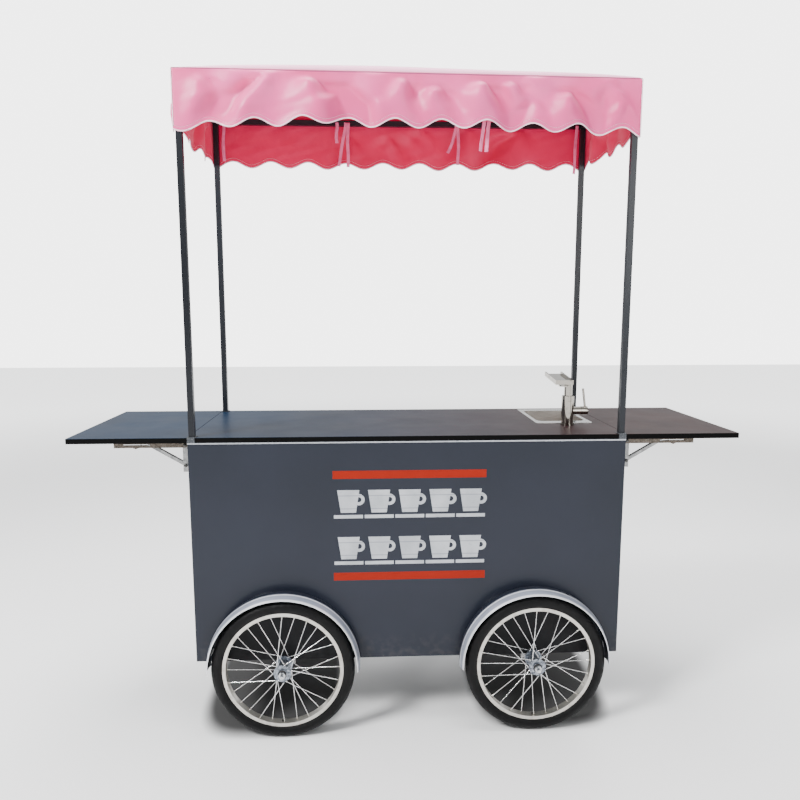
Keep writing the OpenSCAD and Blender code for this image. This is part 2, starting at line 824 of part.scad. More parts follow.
module leaf(s) {
    k = side_sign(s);
    long = leaf_reach - leaf_seam;
    color(board_black) translate([k * (side_x + leaf_seam + long / 2), 0, board_z + board_t / 2])
        cube([long, body_d + 2 * board_lip, board_t], center = true);
}

// Places a bracket piece drawn in the XZ plane, pivot at the origin and reaching towards +X
module at_brackets(s) {
    k = side_sign(s);
    for (y = [-bracket_y, bracket_y])
        translate([k * (side_x + pivot_out), y, pivot_z]) mirror([k > 0 ? 0 : 1, 0, 0]) children();
}

// Flat piece in the XZ plane with its thickness from y0 to y1
module cheek(y0, y1) {
    translate([0, y1, 0]) rotate([90, 0, 0]) linear_extrude(y1 - y0) children();
}

module wall_cheek_outline() {
    translate([-pivot_out, -arm_pitch - wall_tail]) square([pivot_out + 9, arm_pitch + wall_tail]);
    translate([-pivot_out, 0]) square([pivot_out, 9]);
    circle(r = 9, $fn = 32);
}

// Channel screwed to the cabinet's side, with both pivot pins
module wall_arms(s) {
    head = 2;
    color(galvanised) at_brackets(s) {
        translate([-pivot_out, -wall_half, -arm_pitch - wall_tail])
            cube([plate_t, 2 * wall_half, arm_pitch + wall_tail + 9]);
        for (y = [-wall_half, wall_half - plate_t]) cheek(y, y + plate_t) wall_cheek_outline();
        translate([0, shelf_half + seat_gap, 0]) rotate([90, 0, 0])
            cylinder(h = 2 * (shelf_half + seat_gap), d = pin_d);
        for (y = [-shelf_half - seat_gap, shelf_half + seat_gap + head]) translate([0, y, 0])
            rotate([90, 0, 0]) cylinder(h = head, d = pin_d + 4);
        translate([0, wall_half, -arm_pitch]) rotate([90, 0, 0])
            cylinder(h = 2 * wall_half, d = pin_d);
    }
}

lever_x = slot_near + 26;
lever_z = -2;        // levers' pivots above the shelf arms' pivots
lever_pin_d = 5;

// Channel screwed under the leaf, with the strut's slots and the levers' studs
module shelf_arms(s) {
    slot_h = pin_d + 1;
    color(silver) at_brackets(s) {
        difference() {
            union() {
                translate([-8, -shelf_half, pivot_drop - plate_t])
                    cube([arm_l + 8, 2 * shelf_half, plate_t]);
                for (y = [-shelf_half, shelf_half - plate_t]) cheek(y, y + plate_t) {
                    translate([0, -9]) square([arm_l, 9 + pivot_drop - plate_t / 2]);
                    translate([-8, 0]) square([8, pivot_drop - plate_t / 2]);
                    circle(r = 9, $fn = 32);
                }
            }
            translate([0, shelf_half + 1, 0]) rotate([90, 0, 0])
                cylinder(h = 2 * shelf_half + 2, d = pin_d + 2 * run_fit);
            cheek(-shelf_half - 1, shelf_half + 1) {
                translate([slot_near - slot_h / 2, -slot_h / 2])
                    square([slot_far - slot_near + slot_h, slot_h]);
            }
        }
        translate([lever_x, -shelf_half, lever_z]) rotate([90, 0, 0])
            cylinder(h = 4, d = lever_pin_d);
    }
}

// Channel that props the shelf arm; its upper pin stops short of the slotted cheeks
module struts(s) {
    rise = asin(arm_pitch / strut_l);
    depth = 11;
    color(silver) at_brackets(s) translate([0, 0, -arm_pitch]) rotate([0, -rise, 0]) {
        difference() {
            translate([-6, -strut_half, -depth / 2]) cube([strut_l + 12, 2 * strut_half, depth]);
            translate([-7, plate_t - strut_half, plate_t - depth / 2])
                cube([strut_l + 14, 2 * (strut_half - plate_t), depth]);
            translate([0, strut_half + 1, 0]) rotate([90, 0, 0])
                cylinder(h = 2 * strut_half + 2, d = pin_d + 2 * run_fit);
        }
        translate([strut_l, wall_half, 0]) rotate([90, 0, 0]) cylinder(h = 2 * wall_half, d = pin_d);
    }
}

// Thin levers on the shelf arms' studs, with a bent-down finger tab
module release_levers(s) {
    thick = 2;
    color(galvanised) at_brackets(s) translate([lever_x, 0, lever_z])
        cheek(-shelf_half - slip - thick, -shelf_half - slip) difference() {
            union() {
                circle(r = 5, $fn = 32);
                translate([0, -4]) square([16, 6]);
                translate([13, -2]) rotate(-30) square([14, 3]);
            }
            circle(d = lever_pin_d + 2 * run_fit, $fn = 32);
        }
}

// ---- drawing ----

body_frame();
floor_panel();
front_panel();
rear_panel();
door_tracks();
worktop();
worktop_trim();
post_collars();
canopy_top_frame();
canopy_cover();
canopy_ties();
sink_bowl();
sink_strainer();
drain_pipe();
tap_body();
tap_spout();
tap_lever();
fresh_water_tank();
waste_water_tank();
tank_cap();
water_pump();
front_decals();
fender_stays();
axles();
axle_brackets();
axle_nuts();
for (s = SIDES) {
    side_panel(s);
    sliding_door(s);
    leaf(s);
    wall_arms(s);
    shelf_arms(s);
    struts(s);
    release_levers(s);
}
for (w = WHEELS) {
    canopy_post(w);
    fender(w);
    tyre(w);
    rim(w);
    laced_hub(w);
}
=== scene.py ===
"""Looks of the push vending cart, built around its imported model.

Metres, in the model's own frame: X along the cart, Y from the serving side to the
working side, Z up, the origin on the ground under the middle of the cart.
"""

import logging
import math
from dataclasses import dataclass
from enum import Enum

import bmesh
import bpy
import numpy as np
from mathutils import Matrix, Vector

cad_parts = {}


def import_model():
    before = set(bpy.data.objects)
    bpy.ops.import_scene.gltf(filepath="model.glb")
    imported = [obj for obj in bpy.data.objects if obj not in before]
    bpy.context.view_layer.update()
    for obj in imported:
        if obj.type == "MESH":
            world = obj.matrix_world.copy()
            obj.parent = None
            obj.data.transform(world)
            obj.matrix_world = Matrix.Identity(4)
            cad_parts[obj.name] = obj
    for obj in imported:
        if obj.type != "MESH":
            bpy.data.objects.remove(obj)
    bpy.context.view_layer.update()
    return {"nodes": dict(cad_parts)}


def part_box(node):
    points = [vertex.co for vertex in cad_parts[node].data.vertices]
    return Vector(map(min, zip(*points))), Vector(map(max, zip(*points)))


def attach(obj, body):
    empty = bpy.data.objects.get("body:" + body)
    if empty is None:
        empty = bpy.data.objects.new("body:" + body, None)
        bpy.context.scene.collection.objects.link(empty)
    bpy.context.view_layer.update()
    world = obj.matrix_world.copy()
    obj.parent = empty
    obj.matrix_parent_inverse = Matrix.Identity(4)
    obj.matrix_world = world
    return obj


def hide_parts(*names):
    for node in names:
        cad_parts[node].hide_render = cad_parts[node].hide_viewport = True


LOG = logging.getLogger("vending_cart")
MM = 0.001
WHEELS = ("front_left", "front_right", "rear_left", "rear_right")
SIDES = ("left", "right")
WHEEL_MIDDLE = (0.441, 0.346, 0.2475)


# ---------------------------------------------------------------- numbers and meshes


def tint(code: str) -> tuple[float, float, float, float]:
    """Turns a six-digit screen colour into linear red, green, blue and alpha."""
    srgb = np.array([int(code[i : i + 2], 16) for i in (0, 2, 4)]) / 255
    low, high = srgb / 12.92, ((srgb + 0.055) / 1.055) ** 2.4
    return (*np.where(srgb <= 0.04045, low, high).tolist(), 1.0)


def smooth(value: np.ndarray, low: float, high: float) -> np.ndarray:
    """Rises from 0 at low to 1 at high along the cubic 3t^2 - 2t^3."""
    t = np.clip((value - low) / (high - low), 0, 1)
    return t * t * (3 - 2 * t)


def waves(x: np.ndarray, y: np.ndarray, seed: int, pitch: float, count: int = 7) -> np.ndarray:
    """Adds up a few sine waves of random heading, so the sum looks like soft cloth.

    Args:
        x, y: Where the sum is wanted, in metres.
        seed: The random seed.
        pitch: The longest wave, in metres.
        count: How many waves are added.

    Returns:
        Heights from about -1 to 1.
    """
    draw = np.random.default_rng(seed)
    total = np.zeros(np.broadcast(x, y).shape)
    for k in range(count):
        heading, phase = draw.uniform(0, math.tau, 2)
        size = pitch * 0.72**k
        along = (x * math.cos(heading) + y * math.sin(heading)) / size
        total += 0.8**k * np.sin(math.tau * along + phase)
    return total / 2.6


def grid_faces(rows: int, cols: int, ring: bool = False, loop: bool = False) -> np.ndarray:
    """Quads of a grid of points numbered row by row.

    Args:
        rows: Number of rows.
        cols: Number of columns.
        ring: Whether the last column joins the first.
        loop: Whether the last row joins the first.

    Returns:
        An array with four point numbers a row.
    """
    number = np.arange(rows * cols).reshape(rows, cols)
    if ring:
        number = np.concatenate([number, number[:, :1]], axis=1)
    if loop:
        number = np.concatenate([number, number[:1]], axis=0)
    quads = [number[:-1, :-1], number[:-1, 1:], number[1:, 1:], number[1:, :-1]]
    return np.stack(quads, axis=-1).reshape(-1, 4)


class Heap:
    """Collects surfaces into one mesh, each with its own material number."""

    def __init__(self) -> None:
        """Starts empty."""
        self.points: list[np.ndarray] = []
        self.faces: list[np.ndarray] = []
        self.marks: list[np.ndarray] = []
        self.count = 0

    def add(self, points: np.ndarray, faces: np.ndarray, mark: int = 0) -> "Heap":
        """Adds one surface.

        Args:
            points: Its points, in any array shape that ends in three.
            faces: Its faces, as numbers of its own points.
            mark: The number of its material.

        Returns:
            The heap itself.
        """
        flat = points.reshape(-1, 3)
        self.points.append(flat)
        self.faces.append(faces + self.count)
        self.marks.append(np.full(len(faces), mark))
        self.count += len(flat)
        return self

    def tube(self, rings: np.ndarray) -> "Heap":
        """Adds a tube with flat ends.

        Args:
            rings: Its points, ring by outline point by three.

        Returns:
            The heap itself.
        """
        rows, cols = rings.shape[:2]
        lids = np.arange(2 * cols).reshape(2, cols)
        lids[1] = lids[1, ::-1]
        self.add(rings, grid_faces(rows, cols, ring=True))
        return self.add(rings[[0, -1]], lids)

    def mesh(self, name: str, finishes: list, flat: bool = False) -> bpy.types.Object:
        """Makes the piece.

        Args:
            name: The piece's name.
            finishes: Its materials, in the order of their numbers.
            flat: Whether its faces are shaded flat.

        Returns:
            The new object, at the origin.
        """
        mesh = bpy.data.meshes.new(name)
        faces = [row for block in self.faces for row in block.tolist()]
        mesh.from_pydata(np.concatenate(self.points), [], faces)
        for finish in finishes:
            mesh.materials.append(finish)
        mesh.polygons.foreach_set("material_index", np.concatenate(self.marks).astype(np.int32))
        mesh.polygons.foreach_set("use_smooth", np.full(len(faces), not flat))
        mesh.update()
        piece = bpy.data.objects.new(name, mesh)
        bpy.context.scene.collection.objects.link(piece)
        LOG.info("%s: %d points, %d faces", name, self.count, len(faces))
        return piece


def carried(path: np.ndarray, side: np.ndarray, outline: np.ndarray) -> np.ndarray:
    """Carries a closed outline along a path.

    Args:
        path: The path's points, one a row.
        side: The direction of the outline's first number at each point.
        outline: The outline's points, two numbers a row; the second number lies
            along the direction square to the path and the side.

    Returns:
        An array of path points by outline points by three.
    """
    ahead = np.gradient(path, axis=0)
    ahead /= np.linalg.norm(ahead, axis=1, keepdims=True)
    side = side - ahead * (side * ahead).sum(1, keepdims=True)
    side /= np.linalg.norm(side, axis=1, keepdims=True)
    rise = np.cross(ahead, side)
    first = outline[None, :, :1] * side[:, None]
    return path[:, None] + first + outline[None, :, 1:] * rise[:, None]


def turned(profile: np.ndarray, count: int, middle: tuple) -> np.ndarray:
    """Turns a profile about a line along Y.

    Args:
        profile: Radius and place along Y, one point a row.
        count: Steps in the turn.
        middle: The line's place, as X, Y and Z.

    Returns:
        An array of turn steps by profile points by three.
    """
    angle = np.linspace(0, math.tau, count, endpoint=False)[:, None]
    radius, along = profile[None, :, 0], profile[None, :, 1]
    x, z = radius * np.cos(angle), radius * np.sin(angle)
    return np.stack([x, along + 0 * x, z], axis=-1) + np.array(middle)


def oval(width: float, height: float, count: int) -> np.ndarray:
    """An oval outline: half of each size times the cosine and sine of the angle."""
    angle = np.linspace(0, math.tau, count, endpoint=False)
    return np.stack([width / 2 * np.cos(angle), height / 2 * np.sin(angle)], axis=1)


# ---------------------------------------------------------------- shader arithmetic


class Signal:
    """A number that varies over a surface; arithmetic on it adds Math nodes."""

    def __init__(self, recipe: "Recipe", socket: bpy.types.NodeSocket) -> None:
        """Wraps an output socket of the recipe's tree."""
        self.recipe, self.socket = recipe, socket

    def _math(self, operation: str, *values) -> "Signal":
        """Adds one Math node and returns its value."""
        made = self.recipe.node(
            "ShaderNodeMath", {"operation": operation}, dict(enumerate(values))
        )
        return Signal(self.recipe, made.outputs[0])

    def __add__(self, other: "Signal | float") -> "Signal":
        """Sum."""
        return self._math("ADD", self, other)

    def __sub__(self, other: "Signal | float") -> "Signal":
        """Difference."""
        return self._math("SUBTRACT", self, other)

    def __rsub__(self, other: float) -> "Signal":
        """Difference from a number."""
        return self._math("SUBTRACT", other, self)

    def __mul__(self, other: "Signal | float") -> "Signal":
        """Product."""
        return self._math("MULTIPLY", self, other)

    def __truediv__(self, other: "Signal | float") -> "Signal":
        """Quotient."""
        return self._math("DIVIDE", self, other)

    def __pow__(self, other: float) -> "Signal":
        """Power."""
        return self._math("POWER", self, other)

    __radd__ = __add__
    __rmul__ = __mul__

    def size(self) -> "Signal":
        """The value without its sign."""
        return self._math("ABSOLUTE", self)

    def part(self) -> "Signal":
        """What is left over a whole number."""
        return self._math("FRACT", self)

    def wave(self) -> "Signal":
        """The sine, from -1 to 1."""
        return self._math("SINE", self)

    def most(self, other: "Signal | float") -> "Signal":
        """The greater of two."""
        return self._math("MAXIMUM", self, other)

    def between(self, low: float, high: float) -> "Signal":
        """Rises smoothly from 0 at low to 1 at high, or falls where low is the greater."""
        settings = {"interpolation_type": "SMOOTHSTEP", "clamp": True}
        if low > high:
            return 1 - self.between(high, low)
        made = self.recipe.node("ShaderNodeMapRange", settings, {0: self, 1: low, 2: high})
        return Signal(self.recipe, made.outputs[0])


class Recipe:
    """One material's node tree."""

    def __init__(self, name: str, fixed: dict) -> None:
        """Starts a material.

        Args:
            name: The material's name.
            fixed: Values set directly on the shader's sockets.
        """
        self.material = bpy.data.materials.new(name)
        self.material.use_nodes = True
        self.tree = self.material.node_tree
        self.shader = self.tree.nodes["Principled BSDF"]
        for socket, value in fixed.items():
            self.shader.inputs[socket].default_value = value

    def feed(self, socket: bpy.types.NodeSocket, value) -> None:
        """Links a signal or a socket, or sets a plain value."""
        value = value.socket if isinstance(value, Signal) else value
        if isinstance(value, bpy.types.NodeSocket):
            self.tree.links.new(value, socket)
        else:
            socket.default_value = value

    def node(self, kind: str, settings: dict | None = None, sockets: dict | None = None):
        """Adds a node of any kind.

        Args:
            kind: The node's type.
            settings: Its own settings, set first.
            sockets: Values or links of its inputs, by name or number.

        Returns:
            The node.
        """
        made = self.tree.nodes.new(kind)
        for key, value in (settings or {}).items():
            setattr(made, key, value)
        for key, value in (sockets or {}).items():
            self.feed(made.inputs[key], value)
        return made

    def spot(self) -> bpy.types.NodeSocket:
        """The place on the piece, in metres."""
        return self.node("ShaderNodeTexCoord").outputs["Object"]

    def axes(self) -> tuple[Signal, Signal, Signal]:
        """The place on the piece as three numbers."""
        split = self.node("ShaderNodeSeparateXYZ", None, {0: self.spot()})
        return tuple(Signal(self, out) for out in split.outputs)

    def from_wheel(self, x: Signal, z: Signal) -> Signal:
        """The distance from the nearest axle's line; the wheels lie symmetrically."""
        dx, dz = x.size() - WHEEL_MIDDLE[0], z - WHEEL_MIDDLE[2]
        return (dx * dx + dz * dz) ** 0.5

    def own(self, name: str) -> Signal:
        """An attribute that the piece carries on its points."""
        made = self.node("ShaderNodeAttribute", {"attribute_name": name})
        return Signal(self, made.outputs["Fac"])

    def cloud(self, scale: float, detail: float = 3.0, stretch: tuple = (1, 1, 1)) -> Signal:
        """Noise about 0.5.

        Args:
            scale: Lumps to a metre.
            detail: Octaves.
            stretch: How much closer the lumps lie along each axis.

        Returns:
            The noise.
        """
        where = self.node("ShaderNodeMapping", None, {"Vector": self.spot(), "Scale": stretch})
        sockets = {"Vector": where.outputs[0], "Scale": scale, "Detail": detail}
        return Signal(self, self.node("ShaderNodeTexNoise", None, sockets).outputs["Fac"])

    def cells(self, scale: float) -> Signal:
        """The distance in a pattern of cells, with so many cells to a metre."""
        sockets = {"Vector": self.spot(), "Scale": scale}
        made = self.node("ShaderNodeTexVoronoi", {"feature": "F1"}, sockets)
        return Signal(self, made.outputs["Distance"])

    def mixed(self, mask: "Signal | float", first, second) -> bpy.types.NodeSocket:
        """A colour between two, by a mask."""
        made = self.node("ShaderNodeMix", {"data_type": "RGBA"}, {0: mask, 6: first, 7: second})
        return made.outputs[2]

    def over(self, colour, mask: "Signal | float", code: str) -> bpy.types.NodeSocket:
        """Lays a screen colour over a colour, by a mask."""
        return self.mixed(mask, colour, tint(code))

    def blend(self, mask: "Signal | float", first: str, second: str) -> bpy.types.NodeSocket:
        """A colour between two screen colours, by a mask."""
        return self.mixed(mask, tint(first), tint(second))

    def relief(self, height: Signal, depth: float) -> None:
        """Adds a bump, depth metres high, on top of what the shader already has."""
        normal = self.shader.inputs["Normal"]
        sockets = {"Height": height, "Distance": depth, "Strength": 1.0}
        if normal.is_linked:
            sockets["Normal"] = normal.links[0].from_socket
        self.feed(normal, self.node("ShaderNodeBump", None, sockets).outputs[0])

    def done(self, colour, roughness: Signal | None = None) -> bpy.types.Material:
        """Links what varies and gives the material."""
        self.feed(self.shader.inputs["Base Color"], colour)
        if roughness is not None:
            self.feed(self.shader.inputs["Roughness"], roughness)
        return self.material


# ---------------------------------------------------------------- finishes


@dataclass(frozen=True)
class SheetPaint:
    """Gloss paint on steel, with dust low down and a painted shadow, near black, on the panels
    behind the wheels.
    """

    name: str
    colour: str
    shade: str
    roughness: float
    dust_top: float = 0.36

    def make(self) -> bpy.types.Material:
        """Builds the material."""
        fixed = {"Coat Weight": 0.05, "Coat Roughness": 0.15, "Specular IOR Level": 0.22}
        r = Recipe(self.name, fixed)
        x, y, z = r.axes()
        cloud = r.cloud(2.2, 3)
        # Painted shadow: the panel within a wheel's outline, where the fender and tyre shade it.
        painted_wheel_shadow = r.from_wheel(x, z).between(0.252, 0.244) * y.size().between(0.28, 0.29)
        dust = z.between(self.dust_top, 0.24) * r.cloud(38, 5).between(0.42, 0.75)
        scuff = r.cloud(55, 4, (1, 1, 0.08)).between(0.74, 0.84)
        colour = r.blend(cloud.between(0.3, 0.7), self.colour, self.shade)
        colour = r.over(colour, dust * 0.16, "6f6b66")
        colour = r.over(colour, scuff * 0.10, "5d626a")
        # Painted shadow behind the wheels, near black.
        colour = r.over(colour, painted_wheel_shadow * 0.9, "070708")
        r.relief(r.cloud(420, 2), 0.00002)
        rough = self.roughness + 0.06 * r.cloud(3, 2) + 0.3 * dust + 0.1 * scuff + 0.4 * painted_wheel_shadow
        return r.done(colour, rough)


@dataclass(frozen=True)
class Zinc:
    """Galvanised or plated steel: a mottled bloom and fine scratches."""

    name: str
    colour: str
    shade: str
    roughness: float = 0.38
    metal: float = 0.85

    def make(self) -> bpy.types.Material:
        """Builds the material."""
        r = Recipe(self.name, {"Metallic": self.metal})
        bloom = r.cells(160).between(0.1, 0.7)
        cloud = r.cloud(45, 4).between(0.35, 0.7)
        scratch = r.cloud(900, 2, (1, 0.05, 0.3)).between(0.6, 0.72)
        colour = r.blend(bloom * 0.45 + cloud * 0.35, self.colour, self.shade)
        colour = r.over(colour, scratch * 0.3, "e8eaec")
        r.relief(r.cloud(700, 3), 0.00003)
        return r.done(colour, self.roughness + 0.18 * cloud - 0.08 * scratch)


@dataclass(frozen=True)
class Brushed:
    """Brushed metal: a fine grain along X, with finger smears."""

    name: str
    colour: str
    shade: str
    roughness: float
    polished_z: float = 9.0
    stretch: tuple = (0.02, 1, 1)

    def make(self) -> bpy.types.Material:
        """Builds the material; what lies above polished_z is bright and smooth."""
        r = Recipe(self.name, {"Metallic": 1.0})
        _, _, z = r.axes()
        bright = z.between(self.polished_z, self.polished_z + 0.0004)
        grain = r.cloud(1500, 3, self.stretch)
        smear = r.cloud(28, 4).between(0.45, 0.75)
        colour = r.blend(grain.between(0.3, 0.7), self.shade, self.colour)
        colour = r.over(colour, bright, "fbfaf8")
        r.relief(grain, 0.00002)
        rough = self.roughness + 0.12 * grain + 0.08 * smear - 0.2 * bright
        return r.done(colour, rough)


@dataclass(frozen=True)
class Chrome:
    """Polished steel: bright, with dark bands and faint finger smears."""

    name: str = "tap_steel"

    def make(self) -> bpy.types.Material:
        """Builds the material."""
        r = Recipe(self.name, {"Metallic": 1.0})
        smear = r.cloud(60, 4).between(0.5, 0.75)
        colour = r.blend(smear * 0.6, "a09b93", "6a655e")
        return r.done(colour, 0.07 + 0.1 * smear)


@dataclass(frozen=True)
class BoardFilm:
    """Black film-faced board: a satin top with fine scratches, and dead black edges."""

    name: str = "board_film"
    top_z: float = 1.055

    def make(self) -> bpy.types.Material:
        """Builds the material; the top's colour is a painted reflection, bluish to the left and
        brownish to the right.
        """
        r = Recipe(self.name, {"Specular IOR Level": 0.1})
        x, y, z = r.axes()
        top = z.between(self.top_z - 0.0012, self.top_z - 0.0002)
        # Painted reflection: the black top's colour runs from bluish on the left to brownish on the
        # right, as if it mirrored its surroundings.
        across = x.between(-0.75, 0.9)
        face = r.blend(across, "14263a", "2f1e1c")
        face = r.over(face, r.cloud(3, 4).between(0.35, 0.7) * 0.35, "1d1d21")
        line = (r.cloud(5, 2) * 0.09 + y + (x - 0.78) * 0.62).size().between(0.0016, 0.0004)
        far = x.between(0.55, 0.6) * x.between(0.86, 0.8) * r.cloud(60, 3).between(0.42, 0.6)
        fine = r.cloud(800, 2, (0.04, 1, 1)).between(0.66, 0.74) * r.cloud(7, 2).between(0.45, 0.65)
        spots = r.cells(26).between(0.06, 0.03) * r.cloud(4, 2).between(0.5, 0.62)
        scratch = (line * far).most(fine * 0.45).most(spots * 0.5) * top
        colour = r.mixed(top, tint("010101"), face)
        colour = r.over(colour, scratch * 0.55, "a59c9a")
        r.relief(r.cloud(600, 2), 0.00003)
        rough = 0.8 - 0.5 * top + 0.14 * r.cloud(8, 4) * top + 0.15 * scratch
        return r.done(colour, rough)


class Side(Enum):
    """Which side of the canopy cloth a finish is for; the inner side's deep red colours are a
    painted copy of the cloth in shade and lit through from behind.
    """

    OUTER = ("canopy_vinyl_outer", "ec5f9c", "e04a87")
    INNER = ("canopy_vinyl_inner", "ca0a4c", "ba0842")


@dataclass(frozen=True)
class Vinyl:
    """Coated canopy cloth: a fine leathery grain, a painted seam shadow, a painted highlight along
    the roof's edge, painted backlight on the inner side and two rows of stitches.
    """

    side: Side

    def make(self) -> bpy.types.Material:
        """Builds the material."""
        name, light, deep = self.side.value
        inner = self.side is Side.INNER
        fixed = {"Sheen Weight": 0.15, "Sheen Roughness": 0.5, "Specular IOR Level": 0.4}
        r = Recipe(name, fixed)
        x, y, _ = r.axes()
        drop, hem = r.own("drop"), r.own("hem")
        cloud = r.cloud(5, 3).between(0.3, 0.7)
        colour = r.blend(cloud, light, deep)
        if not inner:
            colour = r.over(colour, drop.between(0.0, 0.14) * 0.5, "d54382")
            # Painted highlight: a pale, faintly glowing strip on the roof along its edge, where the
            # cloth faces up.
            top = drop.between(0.001, -0.002) * drop.between(-0.034, -0.014)
            colour = r.over(colour, top * 0.8, "fbc4dc")
            painted_highlight_glow = r.blend(top, "000000", "ff9cc8")
            r.feed(r.shader.inputs["Emission Color"], painted_highlight_glow)
            r.shader.inputs["Emission Strength"].default_value = 0.45
            # Painted shadow: a dark line along the seam.
            seam = (drop - 0.0016).size().between(0.0026, 0.0008)
            colour = r.over(colour, seam * 0.7, "7a3f5c")
        run = ((x + y) * 240).part()
        dash = (run - 0.5).size().between(0.36, 0.30)
        row = (hem - 0.0135).size().between(0.0008, 0.0004)
        stitch = row * dash
        colour = r.over(colour, stitch * 0.6, "fbe6ee")
        soil = r.cloud(24, 4).between(0.62, 0.8)
        colour = r.over(colour, soil * 0.10, "a0406a")
        r.relief(r.cells(900), 0.00006)
        r.relief(r.cloud(60, 3), 0.0005)
        r.relief(row, 0.0003)
        r.relief(stitch, 0.0004)
        rough = (0.5 if inner else 0.36) + 0.14 * r.cloud(18, 3)
        # Painted backlight: the inner side glows faintly red, as if lit through the cloth.
        if inner:
            r.shader.inputs["Emission Color"].default_value = tint("ff0c58")
            r.shader.inputs["Emission Strength"].default_value = 0.14
        return r.done(colour, rough)


@dataclass(frozen=True)
class Tape:
    """Woven tape: fine ribs across its length."""

    name: str
    colour: str
    shade: str

    def make(self) -> bpy.types.Material:
        """Builds the material."""
        fixed = {"Sheen Weight": 0.3, "Sheen Roughness": 0.5, "Specular IOR Level": 0.3}
        r = Recipe(self.name, fixed)
        x, y, z = r.axes()
        rib = ((x + y) * 2600).wave() * 0.5 + 0.5
        weft = (z * 3100).wave() * 0.5 + 0.5
        cloud = r.cloud(40, 3).between(0.35, 0.7)
        colour = r.blend(cloud * 0.6 + rib * weft * 0.25, self.colour, self.shade)
        r.relief(rib * weft, 0.00008)
        return r.done(colour, 0.62 + 0.12 * cloud)


@dataclass(frozen=True)
class Plastic:
    """Moulded plastic: a faint grain and cloudy depth."""

    name: str
    colour: str
    shade: str
    roughness: float = 0.35
    depth: float = 0.0

    def make(self) -> bpy.types.Material:
        """Builds the material."""
        r = Recipe(self.name, {"Subsurface Weight": self.depth, "Subsurface Scale": 0.01})
        cloud = r.cloud(14, 4).between(0.3, 0.7)
        colour = r.blend(cloud, self.colour, self.shade)
        r.relief(r.cloud(520, 3), 0.00005)
        return r.done(colour, self.roughness + 0.12 * r.cloud(30, 3))


@dataclass(frozen=True)
class SignVinyl:
    """Cut vinyl on the front: orange bars above and below rows of white cups."""

    name: str = "sign_vinyl"
    bars: tuple = (0.921, 0.557)
    half_bar: float = 0.0155
    rows: tuple = (0.823, 0.656)
    sleeve: tuple = (-0.022, 0.024)

    def make(self) -> bpy.types.Material:
        """Builds the material; cups have a grey sleeve line and a lid line."""
        r = Recipe(self.name, {"Specular IOR Level": 0.15})
        _, _, z = r.axes()
        bar = (z - self.bars[0]).size().between(self.half_bar + 0.001, self.half_bar)
        bar = bar.most((z - self.bars[1]).size().between(self.half_bar + 0.001, self.half_bar))
        worn = r.cloud(130, 5).between(0.60, 0.72)
        orange = r.blend(r.cloud(10, 3), "861400", "951a01")
        orange = r.over(orange, worn * 0.25, "5f251c")
        white = r.blend(r.cloud(12, 4).between(0.35, 0.7) * 0.5, "b9bcc1", "8f9399")
        for row in self.rows:
            for level in self.sleeve:
                line = (z - (row + level)).size().between(0.0022, 0.0012)
                white = r.over(white, line * 0.55, "6d727b")
        white = r.over(white, worn * 0.35, "8b9098")
        r.relief(r.cloud(300, 3), 0.00005)
        return r.done(r.mixed(bar, white, orange), 0.42 + 0.15 * worn)


@dataclass(frozen=True)
class FenderSilver:
    """Silver paint on a wheel guard, with a painted reflection of the dark panel on the part nearer
    the panel, and road dust near its ends.
    """

    name: str = "fender_silver"

    def make(self) -> bpy.types.Material:
        """Builds the material; painted highlights run along a bead and the lip, and a painted
        reflection of the panel darkens the part nearer the panel.
        """
        r = Recipe(self.name, {"Metallic": 0.35, "Coat Weight": 0.5, "Coat Roughness": 0.1})
        x, y, z = r.axes()
        out = y.size()
        sheen = r.blend(r.cloud(7, 3).between(0.3, 0.7), "a5abbb", "9298a8")
        # Painted highlights: near-white lines along a bead and the outer lip.
        bead = out.between(0.334, 0.337) * out.between(0.344, 0.340)
        bright = bead.most(out.between(0.361, 0.366))
        colour = r.over(sheen, bright, "f1f3f8")
        # Painted reflection: the part nearer the panel takes the dark panel's colour.
        colour = r.over(colour, out.between(0.335, 0.330), "2b2f3a")
        dust = z.between(0.36, 0.22) * r.cloud(60, 4).between(0.4, 0.75)
        colour = r.over(colour, dust * 0.3, "8f8b84")
        fine = r.cloud(500, 3, (1, 0.05, 1)).between(0.62, 0.75)
        colour = r.over(colour, fine * 0.2, "f2f3f6")
        r.relief(r.cloud(300, 3), 0.00004)
        return r.done(colour, 0.24 + 0.12 * r.cloud(20, 3) + 0.3 * dust)


@dataclass(frozen=True)
class Rubber:
    """Tyre rubber: a dusty bloom and moulding lines."""

    name: str = "tyre_rubber"

    def make(self) -> bpy.types.Material:
        """Builds the material."""
        r = Recipe(self.name, {"Specular IOR Level": 0.18})
        x, _, z = r.axes()
        radius = r.from_wheel(x, z)
        dust = r.cloud(34, 5).between(0.42, 0.75)
        tread = radius.between(0.2425, 0.2465)
        colour = r.blend(dust * 0.2 + tread * 0.2, "030304", "141313")
        ring = (radius * 1800).wave() * radius.between(0.236, 0.232)
        r.relief(ring * 0.5 + 0.5, 0.00025)
        r.relief(r.cloud(700, 3), 0.00008)
        return r.done(colour, 0.5 + 0.2 * dust)


@dataclass(frozen=True)
class Alloy:
    """Turned alloy: a machined grain round the wheel and dull water marks."""

    name: str
    colour: str
    shade: str
    roughness: float
    rings: float = 2600.0

    def make(self) -> bpy.types.Material:
        """Builds the material; rings follow the distance from the wheel's middle."""
        r = Recipe(self.name, {"Metallic": 0.9})
        x, _, z = r.axes()
        radius = r.from_wheel(x, z)
        ring = (radius * self.rings).wave() * 0.5 + 0.5
        mark = r.cloud(48, 4).between(0.45, 0.72)
        colour = r.blend(mark * 0.6 + ring * 0.15, self.colour, self.shade)
        r.relief(ring, 0.00004)
        return r.done(colour, self.roughness + 0.2 * mark)


